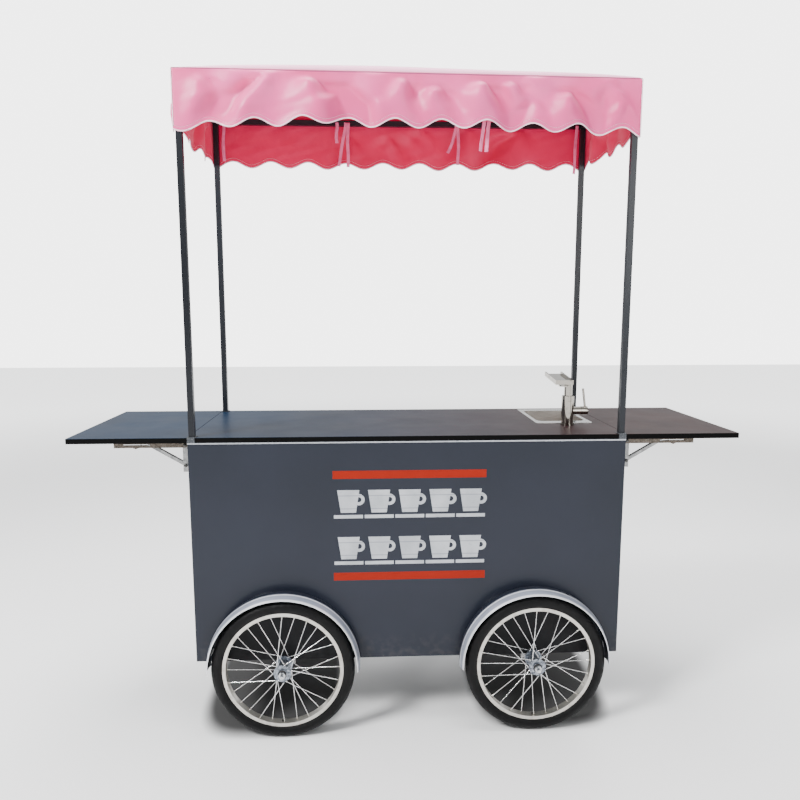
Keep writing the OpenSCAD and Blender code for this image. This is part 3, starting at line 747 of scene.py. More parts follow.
@dataclass(frozen=True)
class LacedSteel:
    """Plated spokes, bright, on a hub with a mottled zinc bloom."""

    name: str = "spoke_chrome"
    hub_r: float = 0.0315

    def make(self) -> bpy.types.Material:
        """Builds the material; the distance from the wheel's middle tells hub from spoke."""
        r = Recipe(self.name, {"Metallic": 0.95})
        x, _, z = r.axes()
        radius = r.from_wheel(x, z)
        hub = radius.between(self.hub_r + 0.0012, self.hub_r)
        bloom = r.cells(260).between(0.1, 0.6) * 0.6 + r.cloud(120, 4).between(0.3, 0.7) * 0.5
        plate = r.blend(bloom, "c3c9d2", "5a6069")
        wire = r.blend(r.cloud(80, 3).between(0.4, 0.7), "fafafa", "dcdcdc")
        r.relief(r.cloud(500, 3) * hub, 0.00006)
        return r.done(r.mixed(hub, wire, plate), 0.22 + 0.2 * bloom * hub)


class Finishes:
    """Every finish of the cart, made once."""

    def __init__(self) -> None:
        """Builds the materials."""
        made = {
            "panel": SheetPaint("panel_paint", "1f232e", "1b1f29", 0.3),
            "frame": SheetPaint("frame_paint", "1f2228", "1a1d22", 0.35),
            "post": SheetPaint("post_paint", "22252a", "191b1f", 0.3),
            "collar": Zinc("collar_zinc", "55585c", "383b3f"),
            "zinc": Zinc("bracket_zinc", "a5a5a4", "6c6d6f", 0.32),
            "arm": Zinc("shelf_arm_zinc", "6d645b", "3f3a34", 0.36),
            "rivet": Zinc("rivet_steel", "5b5a58", "2c2b2a", 0.3, 1.0),
            "nut": Zinc("nut_zinc", "d6d8da", "a4a7aa", 0.2, 1.0),
            "track": Brushed("track_alloy", "c8c9cb", "a9abad", 0.32),
            "trim": Brushed("trim_alloy", "c6c9cf", "a9adb5", 0.3),
            "bowl_steel": Brushed("sink_bowl_steel", "d6d1cb", "aca7a1", 0.32, 1.0552),
            "tap": Chrome(),
            "board": BoardFilm(),
            "outer": Vinyl(Side.OUTER),
            "inner": Vinyl(Side.INNER),
            "binding": Tape("binding_tape", "f6d3e0", "e0a9be"),
            "ribbon": Tape("ribbon_tape", "e878a4", "cc5f8a"),
            "pipe": Plastic("pipe_plastic", "dedede", "cfd0d0", 0.3),
            "tank": Plastic("tank_plastic", "e3e9ec", "cfd8dd", 0.42, 0.3),
            "cap": Plastic("cap_plastic", "24407c", "1c3468", 0.3),
            "pump": Plastic("pump_plastic", "1d1d20", "28282b", 0.5),
            "seal": Plastic("seal_rubber", "151517", "1f1f22", 0.45),
            "sign": SignVinyl(),
            "fender": FenderSilver(),
            "tyre": Rubber(),
            "rim": Alloy("rim_alloy", "c9c6bf", "aeaaa2", 0.28),
            "spoke": LacedSteel(),
            "nipple": Zinc("nipple_brass", "e4e1da", "b9b6ae", 0.25, 1.0),
            "stem": Plastic("valve_rubber", "0b0b0c", "161617", 0.5),
        }
        self.by_name = {key: finish.make() for key, finish in made.items()}

    def __getitem__(self, key: str) -> bpy.types.Material:
        """The material of that name."""
        return self.by_name[key]


# ---------------------------------------------------------------- sub-assemblies


@dataclass
class CartPart:
    """A sub-assembly: it knows the model's nodes and the finishes."""

    nodes: dict
    finishes: Finishes

    def dress(self, key: str, *names: str) -> None:
        """Gives nodes of the model a finish."""
        for name in names:
            mesh = self.nodes[name].data
            mesh.materials.clear()
            mesh.materials.append(self.finishes[key])
            LOG.info("%s dressed in %s", name, key)

    def seat(self, piece: bpy.types.Object, body: str, slot: str, *replaced: str) -> None:
        """Puts a new piece on its body.

        Args:
            piece: The new piece.
            body: The body that it moves with.
            slot: A material slot's name; not used.
            replaced: The nodes that it stands for.
        """
        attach(piece, body)
        if replaced:
            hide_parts(*replaced)


@dataclass
class Cabinet(CartPart):
    """The sheet-steel cabinet with its frame, doors and posts."""

    def build(self) -> None:
        """Dresses the cabinet."""
        panels = ("front_panel", "left_panel", "right_panel", "rear_panel")
        self.dress("panel", *panels, "left_door", "right_door")
        self.dress("frame", "body_frame", "floor_panel")
        self.dress("post", "canopy_top_frame", *(f"post_{w}" for w in WHEELS))
        self.dress("track", "door_tracks")
        self.dress("collar", "post_collars")
        self.dress("sign", "front_decals")


@dataclass
class Counter(CartPart):
    """The worktop, the two folding leaves and their brackets."""

    pivot_x: float = 0.765
    pivot_z: tuple = (1.025, 0.954)
    rivet_r: float = 0.0058
    rivet_high: float = 0.0022
    lever_pivot: tuple = (0.9117, 1.023)
    tab_size: tuple = (0.0235, 0.0034, 0.0022)
    tab_slope: float = math.radians(-22)

    def build(self) -> None:
        """Dresses the boards and brackets."""
        self.dress("board", "worktop", "left_leaf", "right_leaf")
        self.dress("trim", "worktop_trim")
        for side in SIDES:
            self.dress("zinc", f"{side}_wall_arms", f"{side}_struts")
            self.dress("arm", f"{side}_shelf_arms", f"{side}_release_levers")
            self.rivets(side)
            self.tabs(side)

    def tabs(self, side: str) -> None:
        """Makes the finger tabs of a leaf's release levers: flat strips that slope down.

        Args:
            side: The side of the cart.
        """
        low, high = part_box(f"{side}_release_levers")
        sign = 1 if side == "right" else -1
        along = np.array([math.cos(self.tab_slope), math.sin(self.tab_slope)])
        across = np.array([-along[1], along[0]])
        reach, half, thick = self.tab_size
        corners = np.array([(0.25, -1), (0.86, -1), (1, -0.4), (1, 0.4), (0.86, 1), (0.25, 1)])
        shape = corners[:, :1] * reach * along + corners[:, 1:] * half * across
        shape += self.lever_pivot
        heap = Heap()
        for face, inward in ((low[1] - 0.0001, 1), (high[1] + 0.0001, -1)):
            ends = [
                np.stack([sign * shape[:, 0], np.full(len(shape), y), shape[:, 1]], axis=1)
                for y in (face, face + inward * thick)
            ]
            heap.tube(np.stack(ends))
        piece = heap.mesh(f"{side}_lever_tabs", [self.finishes["arm"]], flat=True)
        recalc(piece)
        self.seat(piece, f"{side}_lever_body", "bracket_steel")

    def rivets(self, side: str) -> None:
        """Makes the domed rivet heads of a leaf's brackets, on their outer cheeks.

        A head is a half oval turned about the pivot's line; it stands 2 mm proud.

        Args:
            side: The side of the cart.
        """
        low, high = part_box(f"{side}_wall_arms")
        sign = 1 if side == "right" else -1
        heap = Heap()
        angle = np.linspace(0, math.pi / 2, 6)
        dome = np.stack([self.rivet_r * np.cos(angle), self.rivet_high * np.sin(angle)], axis=1)
        dome = np.concatenate([[(0, -0.0004), (self.rivet_r, -0.0004)], dome])
        for level in self.pivot_z:
            for face, outward in ((low[1], -1), (high[1], 1)):
                middle = (sign * self.pivot_x, face, level)
                head = turned(dome * (1, outward), 20, middle)
                heap.add(head, grid_faces(20, len(dome), loop=True))
        piece = heap.mesh(f"{side}_bracket_rivets", [self.finishes["rivet"]])
        recalc(piece)
        self.seat(piece, "root", "bracket_steel")


@dataclass
class WaterWorks(CartPart):
    """The sink, the tap, the tanks and the pump."""

    def build(self) -> None:
        """Dresses the sink, the tap and what is inside the cabinet."""
        self.dress("bowl_steel", "sink_bowl", "sink_strainer")
        self.dress("tap", "tap_body", "tap_spout", "tap_lever")
        self.dress("pipe", "drain_pipe")
        self.dress("tank", "fresh_water_tank", "waste_water_tank")
        self.dress("cap", "tank_cap")
        self.dress("pump", "water_pump")


@dataclass
class Canopy(CartPart):
    """The fabric canopy: one sheet with scalloped valances, its binding and its ties."""

    half_x: float = 0.7508
    half_y: float = 0.2958
    seam_z: float = 2.2218
    slack: float = 0.0110
    first_crest: float = 0.0728
    crest_step: float = 0.0987
    hem_z: float = 2.0540
    scallop: float = 0.0130
    scallops: tuple = (10, 4)
    roll: float = 0.0215
    roll_width: float = 0.0105
    step: float = 0.0075
    rows: int = 26
    cloth: float = 0.0012
    # How far the front hem bows up, by share of its length, and how full the rolled
    # edge is along X.
    hem_bow: tuple = ((0, 0.12, 0.33, 0.5, 0.75, 1), (0, 0.012, 0.023, 0.019, 0.0135, 0))
    roll_share: tuple = ((-0.75, -0.6, -0.1, 0.3, 0.75), (0.45, 0.8, 1.0, 0.75, 0.95))
    # Pinches in the valance: place along X, depth of the pinch point as a share of the
    # fall, how far its folds reach to each side at the hem, height, and lean along X.
    front_pinches: tuple = (
        (-0.655, 0.06, 0.050, 0.0090, 0.05),
        (-0.560, 0.34, 0.060, -0.0100, -0.04),
        (-0.452, 0.04, 0.060, -0.0210, -0.16),
        (-0.308, 0.05, 0.085, 0.0280, 0.10),
        (-0.215, 0.28, 0.070, 0.0140, -0.05),
        (-0.120, 0.42, 0.060, -0.0120, -0.03),
        (-0.012, 0.03, 0.045, 0.0150, 0.02),
        (0.090, 0.20, 0.080, 0.0170, 0.05),
        (0.236, 0.06, 0.070, 0.0300, 0.07),
        (0.330, 0.04, 0.050, 0.0150, 0.08),
        (0.395, 0.45, 0.060, -0.0150, -0.03),
        (0.510, 0.22, 0.065, 0.0260, 0.08),
        (0.640, 0.12, 0.050, -0.0110, 0.06),
        (0.690, 0.45, 0.040, 0.0080, -0.02),
    )
    # The limits that the other sides' pinches are drawn between, in the same order.
    other_pinches: tuple = ((0.08, 0.4), (0.04, 0.08), (0.006, 0.016), (-0.08, 0.08))
    welt: tuple = (-0.0016, 0.0002)
    # Ribbons: place along X, length, rail (1 rear, -1 front), sway along X, and twist.
    ribbons: tuple = (
        (-0.258, 0.079, 1, -0.001, 0.3),
        (-0.224, 0.168, 1, -0.029, 0.1),
        (-0.2135, 0.171, 1, -0.002, -0.1),
        (0.222, 0.113, 1, -0.036, 0.2),
        (0.2265, 0.159, 1, 0.001, -0.3),
        (0.252, 0.218, -1, -0.020, 0.2),
        (0.267, 0.220, -1, -0.017, -0.2),
        (-0.703, 0.152, 1, -0.003, 0.5),
        (0.708, 0.190, 1, -0.008, 0.1),
    )
    ribbon_width: float = 0.0125
    rail_y: float = 0.2695
    rail_z: float = 2.2135

    def edge_path(self) -> dict[str, np.ndarray]:
        """Walks round the canopy's edge, seen from above.

        The walk starts at the front left corner and runs along the front, the right end,
        the rear and the left end.

        Returns:
            Arrays along the walk: place, outward direction, share of the side and side.
        """
        hx, hy = self.half_x, self.half_y
        corners = np.array([(-hx, -hy), (hx, -hy), (hx, hy), (-hx, hy)])
        place, outward, share, side = [], [], [], []
        for k in range(4):
            start, end = corners[k], corners[(k + 1) % 4]
            length = float(np.linalg.norm(end - start))
            count = int(round(length / self.step))
            s = np.arange(count) / count
            place.append(start + s[:, None] * (end - start))
            heading = (end - start) / length
            normal = np.tile([heading[1], -heading[0]], (count, 1))
            normal[0] = (normal[0] - heading) / math.sqrt(2)
            outward.append(normal)
            share.append(s)
            side.append(np.full(count, k))
        joined = (np.concatenate(part) for part in (place, outward, share, side))
        return dict(zip(("place", "outward", "share", "side"), joined))

    def hem_height(self, walk: dict[str, np.ndarray]) -> np.ndarray:
        """Height of the hem: a cosine with its lowest points at the corners."""
        share, side = walk["share"], walk["side"]
        count = np.where(side % 2 == 0, *self.scallops)
        turn = math.tau * np.where(
            side == 0, (share - self.first_crest) / self.crest_step + 0.5, count * share
        )
        height = self.hem_z - self.scallop * np.cos(turn)
        bow = np.interp(share, *self.hem_bow)
        height += np.where(side == 0, bow, -0.012 * share * (1 - share))
        near = smooth(np.minimum(share, 1 - share), 0.035, 0.0)
        height -= np.where(side % 2 == 0, 0.006, 0.002) * near
        return height + 0.0020 * np.sin(turn * 0.37 + side) * np.sin(math.pi * share)

    def lift(self, x: np.ndarray) -> np.ndarray:
        """How far the sheet stands over its frame: it is pulled down towards the right end."""
        return 0.5 * self.slack * (1 - x / self.half_x)

    def pinch(self, along: np.ndarray, depth: np.ndarray, spec: tuple) -> np.ndarray:
        """A fold that fans out downwards from a point.

        Its section is a ridge beside a hollow: the negative slope of a bell curve, whose
        width grows with the distance under the pinch point.

        Args:
            along: Place along the side.
            depth: Depth under the seam, from 0 to 1 at the hem.
            spec: The pinch's numbers, as in front_pinches.

        Returns:
            How far the cloth stands out there.
        """
        middle, start, reach, height, lean = spec
        under = np.clip(depth - start, 0, None)
        width = 0.008 + reach * under**0.8
        t = (along - middle - lean * under) / width
        bell = -t * np.exp(0.5 - t * t / 2)
        swell = 0.5 * np.exp(-(((along - middle) / 0.04) ** 2)) * np.exp(-((under / 0.12) ** 2))
        fade = 1 - 0.45 * smooth(under, 0.35, 0.9)
        ridge = bell * smooth(under, 0.0, 0.22) - swell * smooth(depth, 0.0, 0.08)
        return 1.15 * height * fade * ridge

    def valance(self, walk: dict[str, np.ndarray]) -> tuple[np.ndarray, np.ndarray, np.ndarray]:
        """The hanging part of the sheet.

        Args:
            walk: The walk round the edge.

        Returns:
            Its points, rows down by walk; how far each is under the seam; and how far
            each is above the hem.
        """
        fine = np.array([0.0, 0.0014, 0.0034, 0.0068])
        hem = self.hem_height(walk)
        seam = self.seam_z + self.lift(walk["place"][:, 0])
        fall = seam - hem
        t = np.linspace(0, 1, self.rows - len(fine) + 1)[1:, None]
        below = fine[-1] + t * (fall - fine[-1])
        drop = np.concatenate([np.tile(fine[:, None], fall.shape), below])
        depth = drop / fall
        share, side = walk["share"][None], walk["side"][None]
        x, y = walk["place"][None, :, 0], walk["place"][None, :, 1]
        along = np.where(side % 2 == 0, x, y)
        count = np.where(side % 2 == 0, *self.scallops)
        ease = smooth(depth, 0.05, 0.6)
        out = 0.0028 * waves(along + 3 * side, 0.6 * drop, 11, 0.34, 5) * ease
        out += 0.0016 * waves(along + 5 * side, drop, 23, 0.11, 5) * smooth(depth, 0.02, 0.3)
        out += 0.0020 * -np.cos(math.tau * count * share) * ease**2
        out += 0.0030 * ease
        for spec in self.front_pinches:
            out += np.where(side == 0, self.pinch(along, depth, spec), 0)
        draw = np.random.default_rng(5)
        for k in (1, 2, 3):
            reach = self.half_x if k == 2 else self.half_y
            for _ in range(7 if k == 2 else 3):
                middle = draw.uniform(-0.85, 0.85) * reach
                spec = (middle, *(draw.uniform(*limits) for limits in self.other_pinches))
                out += np.where(side == k, self.pinch(along, depth, spec), 0)
        length = np.where(side % 2 == 0, 2 * self.half_x, 2 * self.half_y)
        near = np.minimum(share, 1 - share) * length
        out = out * smooth(near, -0.01, 0.07)
        welt = np.zeros((len(drop), 1))
        welt[1:3, 0] = self.welt
        floor = -0.0012 - 0.0138 * smooth(near, 0.05, 0.12) * smooth(drop, 0.026, 0.045)
        floor = floor - 0.0022 * smooth(near, 0.03, 0.08)
        out = floor + np.logaddexp((out - floor) * 900, 0) / 900 + welt
        flat = walk["place"][None] + out[..., None] * walk["outward"][None]
        z = seam - drop
        return np.concatenate([flat, z[..., None]], axis=2), drop, fall - drop

    def roof(self, counts: tuple[int, int]) -> tuple[np.ndarray, np.ndarray]:
        """The top of the sheet.

        Height over the seam is a quarter circle of the distance from the nearest edge,
        tall in the middle of each side and low at the corners, plus soft creases.

        Args:
            counts: Steps along X and along Y, as the walk has them.

        Returns:
            Its points, Y by X, and how far each lies from the edge.
        """
        x = np.linspace(-1, 1, counts[0] + 1)[None, :] * self.half_x
        y = np.linspace(-1, 1, counts[1] + 1)[:, None] * self.half_y
        tall = 0.003 + (self.roll - 0.003) * (1 - (x / self.half_x) ** 4 * (y / self.half_y) ** 4)
        from_x, from_y = self.half_x - np.abs(x), self.half_y - np.abs(y)
        rise = 1 - (1 - np.clip(from_x / self.roll_width, 0, 1)) ** 2
        rise = np.sqrt(rise * (1 - (1 - np.clip(from_y / self.roll_width, 0, 1)) ** 2))
        edge = np.minimum(from_x, from_y)
        crease = 0.0036 * waves(x + 0 * y, y + 0 * x, 41, 0.36, 7)
        corner = np.abs(np.abs(x / self.half_x) - np.abs(y / self.half_y))
        crease = crease + 0.0016 * np.exp(-((corner / 0.05) ** 2))
        tall = tall * np.interp(x, *self.roll_share)
        z = self.seam_z + self.lift(x) + tall * rise + crease * smooth(edge, 0.012, 0.09)
        points = np.stack(np.broadcast_arrays(x, y, z), axis=-1)
        return points, edge

    def build(self) -> None:
        """Makes the sheet, the binding, the corner welts and the ties."""
        walk = self.edge_path()
        hang, drop, over = self.valance(walk)
        nx, ny = (int((walk["side"] == k).sum()) for k in (0, 1))
        top, edge = self.roof((nx, ny))
        number = np.arange((ny + 1) * (nx + 1)).reshape(ny + 1, nx + 1)
        rim = np.concatenate([number[0, :-1], number[:-1, -1], number[-1, :0:-1], number[:0:-1, 0]])
        skirt = hang[1:].reshape(-1, 3)
        below = number.size + np.arange(len(skirt)).reshape(-1, len(rim))
        ring = np.concatenate([rim[None], below])
        ring = np.concatenate([ring, ring[:, :1]], axis=1)
        quads = [ring[:-1, :-1], ring[1:, :-1], ring[1:, 1:], ring[:-1, 1:]]
        faces = [grid_faces(ny + 1, nx + 1), np.stack(quads, axis=-1).reshape(-1, 4)]
        heap = Heap().add(np.concatenate([top.reshape(-1, 3), skirt]), np.concatenate(faces))
        cloths = [self.finishes[key] for key in ("outer", "inner", "binding")]
        cover = heap.mesh("canopy_sheet", cloths)
        values = {
            "drop": np.concatenate([-edge.reshape(-1), drop[1:].reshape(-1)]),
            "hem": np.concatenate([np.full(edge.size, 0.2), over[1:].reshape(-1)]),
        }
        for name, value in values.items():
            attribute = cover.data.attributes.new(name, "FLOAT", "POINT")
            attribute.data.foreach_set("value", value.astype(np.float32))
        wall = cover.modifiers.new("wall", "SOLIDIFY")
        wall.thickness, wall.offset = self.cloth, -1
        wall.material_offset, wall.material_offset_rim = 1, 2
        self.seat(cover, "root", "canopy_fabric", "canopy_cover")
        binding = self.binding(walk, hang)
        self.ties()

    def binding(self, walk: dict[str, np.ndarray], hang: np.ndarray) -> bpy.types.Object:
        """The pale tape folded over the hem, with a welt down each corner.

        Args:
            walk: The walk round the edge.
            hang: The valance's points.

        Returns:
            The binding.
        """
        hem = hang[-1].copy()
        hem[:, 2] += 0.0016
        outward = np.concatenate([walk["outward"], np.zeros((len(hem), 1))], axis=1)
        outward /= np.linalg.norm(outward, axis=1, keepdims=True)
        hem -= outward * self.cloth / 2
        around = np.concatenate([hem[-3:], hem, hem[:3]])
        sides = np.concatenate([outward[-3:], outward, outward[:3]])
        tube = carried(around, sides, oval(0.0030, 0.0048, 10))[3:-3]
        heap = Heap().add(tube, grid_faces(len(tube), 10, ring=True, loop=True))
        starts = np.flatnonzero(walk["share"] == 0)
        for k in starts:
            line = hang[1:-1, k] - outward[k] * 0.0004
            side = np.tile(np.cross(outward[k], (0, 0, 1)), (len(line), 1))
            welt = carried(line, side, oval(0.0052, 0.0030, 10))
            heap.tube(welt)
        piece = heap.mesh("canopy_binding", [self.finishes["binding"]])
        recalc(piece)
        self.seat(piece, "root", "ribbon", "canopy_ties")
        return piece

    def ties(self) -> None:
        """The ribbons that tie the sheet to the top frame, their ends hanging."""
        width = self.ribbon_width
        for k, (x, length, rail, sway, twist) in enumerate(self.ribbons):
            t = np.linspace(0, 1, 25)
            path = np.stack(
                [
                    x + sway * t**1.3 + 0.0016 * np.sin(7 * t + k),
                    rail * (self.rail_y - 0.0022 * np.sin(math.pi * t) ** 2) - rail * 0.002 * t,
                    self.rail_z - length * t,
                ],
                axis=1,
            )
            angle = twist * t + 0.25 * np.sin(5 * t + 2 * k) * t
            side = np.stack([np.cos(angle), np.sin(angle), 0 * t], axis=1)
            strip = carried(path, side, oval(width, 0.0009, 8))
            piece = Heap().tube(strip).mesh(f"tie_ribbon_{k + 1}", [self.finishes["ribbon"]])
            recalc(piece)
            self.seat(piece, "root", "ribbon", "canopy_ties")


def recalc(piece: bpy.types.Object) -> None:
    """Turns a closed mesh's faces outwards, after its doubles are merged."""
    work = bmesh.new()
    work.from_mesh(piece.data)
    bmesh.ops.remove_doubles(work, verts=work.verts, dist=1e-6)
    bmesh.ops.recalc_face_normals(work, faces=work.faces)
    work.to_mesh(piece.data)
    work.free()


@dataclass
class Wheels(CartPart):
    """The four spoked wheels, their axles, nuts and guards."""

    outer_r: float = 0.2475
    tyre_w: float = 0.0445
    # Angles round the tyre's section, with widths for the bands on its walls.
    grooves: tuple = (-0.42, 0.0, 0.42)
    bands: tuple = ((1.36, 0.035), (2.02, 0.045))
    section_end: float = 0.79 * math.pi
    notches: int = 60
    spokes: int = 14
    cross: int = 2
    # Ends of the spokes' lines: radius, the flange's half spread and the lean to each
    # side of it. Profiles: reach and radius of a nipple, radius and height of the stem
    # and the seal. All in millimetres.
    foot: tuple = (25, 32, 2.7)
    tip: tuple = (195.7, 4, 1.3)
    nipple: tuple = ((0.0, 2.3), (3.0, 2.3), (4.0, 1.7), (11.0, 1.7), (12.0, 1.15))
    stem: tuple = (
        (0, 0), (3.6, 0), (3.6, 6), (2.7, 9), (2.7, 24), (3.1, 25), (3.1, 34), (2.4, 36), (0, 36)
    )
    seal: tuple = (
        (6.4, 37.5), (14.2, 37.5), (15.0, 38.4), (15.0, 39.6), (14.0, 40.4), (6.4, 41.4)
    )
    stem_r: float = 197.0
    stem_angle: float = -1.60

    def tyre_points(self, middle: tuple, steps: int = 360) -> np.ndarray:
        """The tyre's outside as a surface of turn and section.

        The section is a circle a little squared at the tread; the tread is cut by three
        grooves round the tyre and by slanting notches at the shoulders.

        Args:
            middle: The wheel's middle.
            steps: Steps round the wheel.

        Returns:
            Points, turn by section.
        """
        half = self.tyre_w / 2
        core = self.outer_r - half
        a = np.linspace(-self.section_end, self.section_end, 60)[None, :]
        turn = np.linspace(0, math.tau, steps, endpoint=False)[:, None]
        tread = smooth(np.cos(a), 0.35, 0.75)
        groove = sum(np.exp(-(((a - place) / 0.07) ** 2)) for place in self.grooves)
        phase = (turn * self.notches / math.tau + np.abs(a) * 0.9) % 1
        notch = smooth(np.abs(phase - 0.5), 0.34, 0.42) * smooth(np.abs(a), 0.5, 0.62)
        notch = notch * (1 - smooth(np.abs(a), 1.0, 1.12))
        band = sum(np.exp(-(((np.abs(a) - place) / size) ** 2)) for place, size in self.bands)
        reach = half - (0.0013 * groove * tread + 0.0012 * notch + 0.0007 * band)
        radius = core + reach * np.cos(a)
        along = reach * np.sin(a)
        x, z = radius * np.cos(turn), radius * np.sin(turn)
        return np.stack([x, along, z], axis=-1) + np.array(middle)

    def lacing(self) -> list[np.ndarray]:
        """Where the spokes' lines start and end, in millimetres from the wheel's middle."""
        k = np.arange(2 * self.spokes)
        flange = np.where(k < self.spokes, 1.0, -1.0)
        count = k % self.spokes
        lead = np.where(count % 2 == 0, 1.0, -1.0)
        step = math.tau / self.spokes
        start = (count + np.where(flange > 0, 0, 0.5)) * step
        ends = ((self.foot, start), (self.tip, start + lead * self.cross * step))
        made = []
        for (radius, spread, offset), angle in ends:
            along = flange * spread + lead * offset
            made.append(np.stack([radius * np.cos(angle), along, radius * np.sin(angle)], axis=1))
        return made

    def nipples(self, wheel: str, middle: tuple) -> None:
        """Makes the spoke nipples, each a six-sided profile along its spoke.

        Args:
            wheel: The wheel's name.
            middle: Its middle.
        """
        foot, tip = self.lacing()
        ahead = (foot - tip) / np.linalg.norm(foot - tip, axis=1, keepdims=True)
        side = np.cross(ahead, (0.0, 1.0, 0.0))
        side /= np.linalg.norm(side, axis=1, keepdims=True)
        angle = np.linspace(0, math.tau, 6, endpoint=False)[:, None]
        heap = Heap()
        for start, along, across, rise in zip(tip, ahead, side, np.cross(side, ahead)):
            around = np.cos(angle) * across + np.sin(angle) * rise
            rings = [start + reach * along + radius * around for reach, radius in self.nipple]
            heap.tube(np.stack(rings) * MM + middle)
        piece = heap.mesh(f"{wheel}_nipples", [self.finishes["nipple"]])
        recalc(piece)
        self.seat(piece, f"{wheel}_wheel", "spoke_chrome")

    def valve(self, wheel: str, middle: tuple) -> None:
        """Makes the valve stem, which points at the wheel's middle, and the hub's seal.

        Args:
            wheel: The wheel's name.
            middle: Its middle.
        """
        outward = 1 if middle[1] > 0 else -1
        x, y, z = np.moveaxis(turned(np.array(self.stem) * MM, 14, (0, 0, 0)), -1, 0)
        inward = self.stem_r * MM - y
        cos, sin = math.cos(self.stem_angle), math.sin(self.stem_angle)
        stem = np.stack([inward * cos - z * sin, x, inward * sin + z * cos], axis=-1)
        seal = turned(np.array(self.seal) * MM * (1, outward), 40, middle)
        heap = Heap().add(stem + np.array(middle), grid_faces(14, len(self.stem), loop=True))
        heap.add(seal, grid_faces(40, len(self.seal), loop=True, ring=True), 1)
        rubbers = [self.finishes["stem"], self.finishes["seal"]]
        piece = heap.mesh(f"{wheel}_valve_and_seal", rubbers)
        recalc(piece)
        self.seat(piece, f"{wheel}_wheel", "tyre_rubber")

    def build(self) -> None:
        """Makes the tyres and small fittings and dresses the rest."""
        for wheel in WHEELS:
            sx = 1 if wheel.endswith("right") else -1
            sy = 1 if wheel.startswith("rear") else -1
            middle = (sx * WHEEL_MIDDLE[0], sy * WHEEL_MIDDLE[1], WHEEL_MIDDLE[2])
            points = self.tyre_points(middle)
            heap = Heap().add(points, grid_faces(len(points), points.shape[1], loop=True))
            tyre = heap.mesh(f"{wheel}_tyre_tread", [self.finishes["tyre"]])
            self.seat(tyre, f"{wheel}_wheel", "tyre_rubber", f"{wheel}_tyre")
            self.nipples(wheel, middle)
            self.valve(wheel, middle)
            self.dress("rim", f"{wheel}_rim")
            self.dress("spoke", f"{wheel}_laced_hub")
            self.dress("fender", f"fender_{wheel}")
        self.dress("zinc", "fender_stays", "axle_brackets")
        self.dress("nut", "axles", "axle_nuts")


# ---------------------------------------------------------------- studio


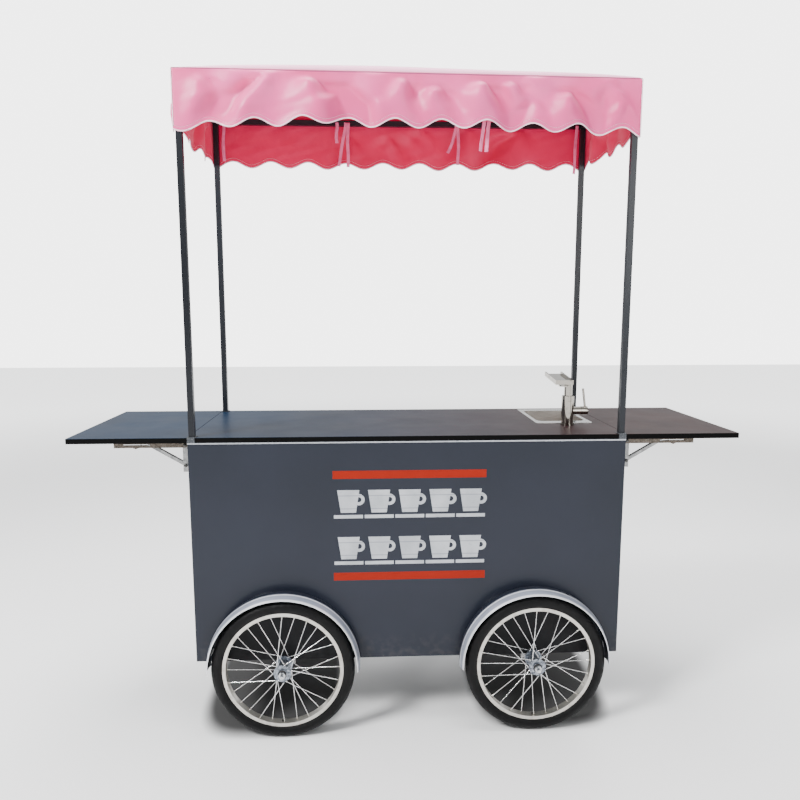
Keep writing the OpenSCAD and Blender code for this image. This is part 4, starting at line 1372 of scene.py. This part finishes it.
@dataclass(frozen=True)
class Studio:
    """The camera, the pale floor with painted shadows under the wheels, and soft lights."""

    eye: tuple = (-0.1458, -2.5984, 1.5019)
    pitch: float = 0.1393
    yaw: float = 0.0485
    lens: float = 30.98
    floor_half: float = 14.0
    # Painted shadows on the floor, dark patches under both pairs of wheels: middle and half size.
    painted_shadow_x: tuple = (0.505, 0.25)
    painted_shadow_y: tuple = (0.04, 0.38)
    # Sky strengths: by height, low and high; by the side, behind and in front; as seen.
    rise: tuple = (-0.05, 0.75, 0.16, 1.1)
    front: tuple = (-0.8, 0.7, 0.18, 1.9)
    backdrop: float = 4.5
    # Lights: name, place, target, side in metres and power in watts.
    lights: tuple = (
        ("key", (-3.2, -2.7, 4.3), (0, 0, 1.3), 1.2, 430),
        ("fill", (2.6, -4.2, 2.4), (0, 0, 1.0), 1.8, 85),
        ("top", (0.0, 0.2, 5.6), (0, 0, 0), 3.4, 300),
        ("rim", (2.6, 3.4, 3.2), (0, 0, 1.2), 1.8, 110),
    )

    def camera(self) -> None:
        """Makes the scene's camera."""
        data = bpy.data.cameras.new("camera")
        data.lens, data.sensor_width, data.clip_start = self.lens, 36.0, 0.05
        camera = bpy.data.objects.new("camera", data)
        camera.location = self.eye
        camera.rotation_euler = (math.pi / 2 - self.pitch, 0, -self.yaw)
        bpy.context.scene.collection.objects.link(camera)
        bpy.context.scene.camera = camera

    def light(self, name: str, place: tuple, target: tuple, size: float, power: float) -> None:
        """Adds a soft square light; the one behind isn't mirrored in the paint.

        Args:
            name: Its name.
            place: Where it stands.
            target: What it points at.
            size: Its side.
            power: Its power in watts.
        """
        data = bpy.data.lights.new(name, "AREA")
        data.shape, data.size, data.energy = "SQUARE", size, power
        lamp = bpy.data.objects.new(name, data)
        lamp.visible_glossy = name != "rim"
        lamp.location = place
        heading = Vector(target) - Vector(place)
        lamp.rotation_euler = heading.to_track_quat("-Z", "Y").to_euler()
        bpy.context.scene.collection.objects.link(lamp)

    def build(self) -> None:
        """Makes the floor, the sky and the lights."""
        signs = np.array([(-1, -1, 0), (1, -1, 0), (1, 1, 0), (-1, 1, 0)])
        heap = Heap().add(self.floor_half * signs, np.array([[0, 1, 2, 3]]))
        fixed = {"Roughness": 0.85, "Specular IOR Level": 0.1, "Emission Strength": 1.5}
        r = Recipe("studio_floor", fixed)
        x, y, _ = r.axes()
        away = ((x * x + y * y) ** 0.5).between(3.5, 9.0)
        r.feed(r.shader.inputs["Emission Color"], r.blend(away, "000000", "ffffff"))
        # Painted shadow: the floor is near black in soft patches under both pairs of wheels.
        u = (x.size() - self.painted_shadow_x[0]) / self.painted_shadow_x[1]
        v = (y - self.painted_shadow_y[0]) / self.painted_shadow_y[1]
        shade = (u * u * u * u + v * v * v * v).between(1.5, 0.6)
        colour = r.blend(r.cloud(0.6, 2), "f4f4f4", "f8f8f8")
        colour = r.over(colour, shade * 0.94, "161515")
        floor = heap.mesh("studio_floor", [r.done(colour)])
        self.sky()
        for spec in self.lights:
            self.light(*spec)

    def sky(self) -> None:
        """Makes the surroundings: dim at the horizon and brighter overhead, white when seen."""
        world = bpy.data.worlds.new("studio")
        bpy.context.scene.world = world
        world.use_nodes = True
        tree = world.node_tree
        names = ("TexCoord", "SeparateXYZ", "MapRange", "MapRange", "Math", "Background")
        names += ("LightPath", "MixShader")
        made = [tree.nodes.new(f"ShaderNode{name}") for name in names]
        place, split, ramp, front, both, seen, path, mix = made
        soft = tree.nodes["Background"]
        both.operation = "MULTIPLY"
        for node, values in ((ramp, self.rise), (front, self.front)):
            for socket, value in enumerate(values, 1):
                node.inputs[socket].default_value = value
        seen.inputs["Strength"].default_value = self.backdrop
        soft.inputs["Color"].default_value = (0.97, 0.985, 1, 1)
        seen.inputs["Color"].default_value = (1, 1, 1, 1)
        for start, end in (
            (place.outputs["Generated"], split.inputs[0]),
            (split.outputs["Z"], ramp.inputs[0]),
            (split.outputs["Y"], front.inputs[0]),
            (ramp.outputs[0], both.inputs[0]),
            (front.outputs[0], both.inputs[1]),
            (both.outputs[0], soft.inputs["Strength"]),
            (path.outputs["Is Camera Ray"], mix.inputs[0]),
            (soft.outputs[0], mix.inputs[1]),
            (seen.outputs[0], mix.inputs[2]),
            (mix.outputs[0], tree.nodes["World Output"].inputs[0]),
        ):
            tree.links.new(start, end)


def main() -> None:
    """Builds the cart's looks."""
    logging.basicConfig(level=logging.INFO, format="%(name)s %(message)s")
    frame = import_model()
    Studio().camera()
    finishes = Finishes()
    nodes = frame["nodes"]
    for part in (Cabinet, Counter, WaterWorks, Canopy, Wheels):
        part(nodes, finishes).build()
    Studio().build()


if __name__ == "__main__":
    main()
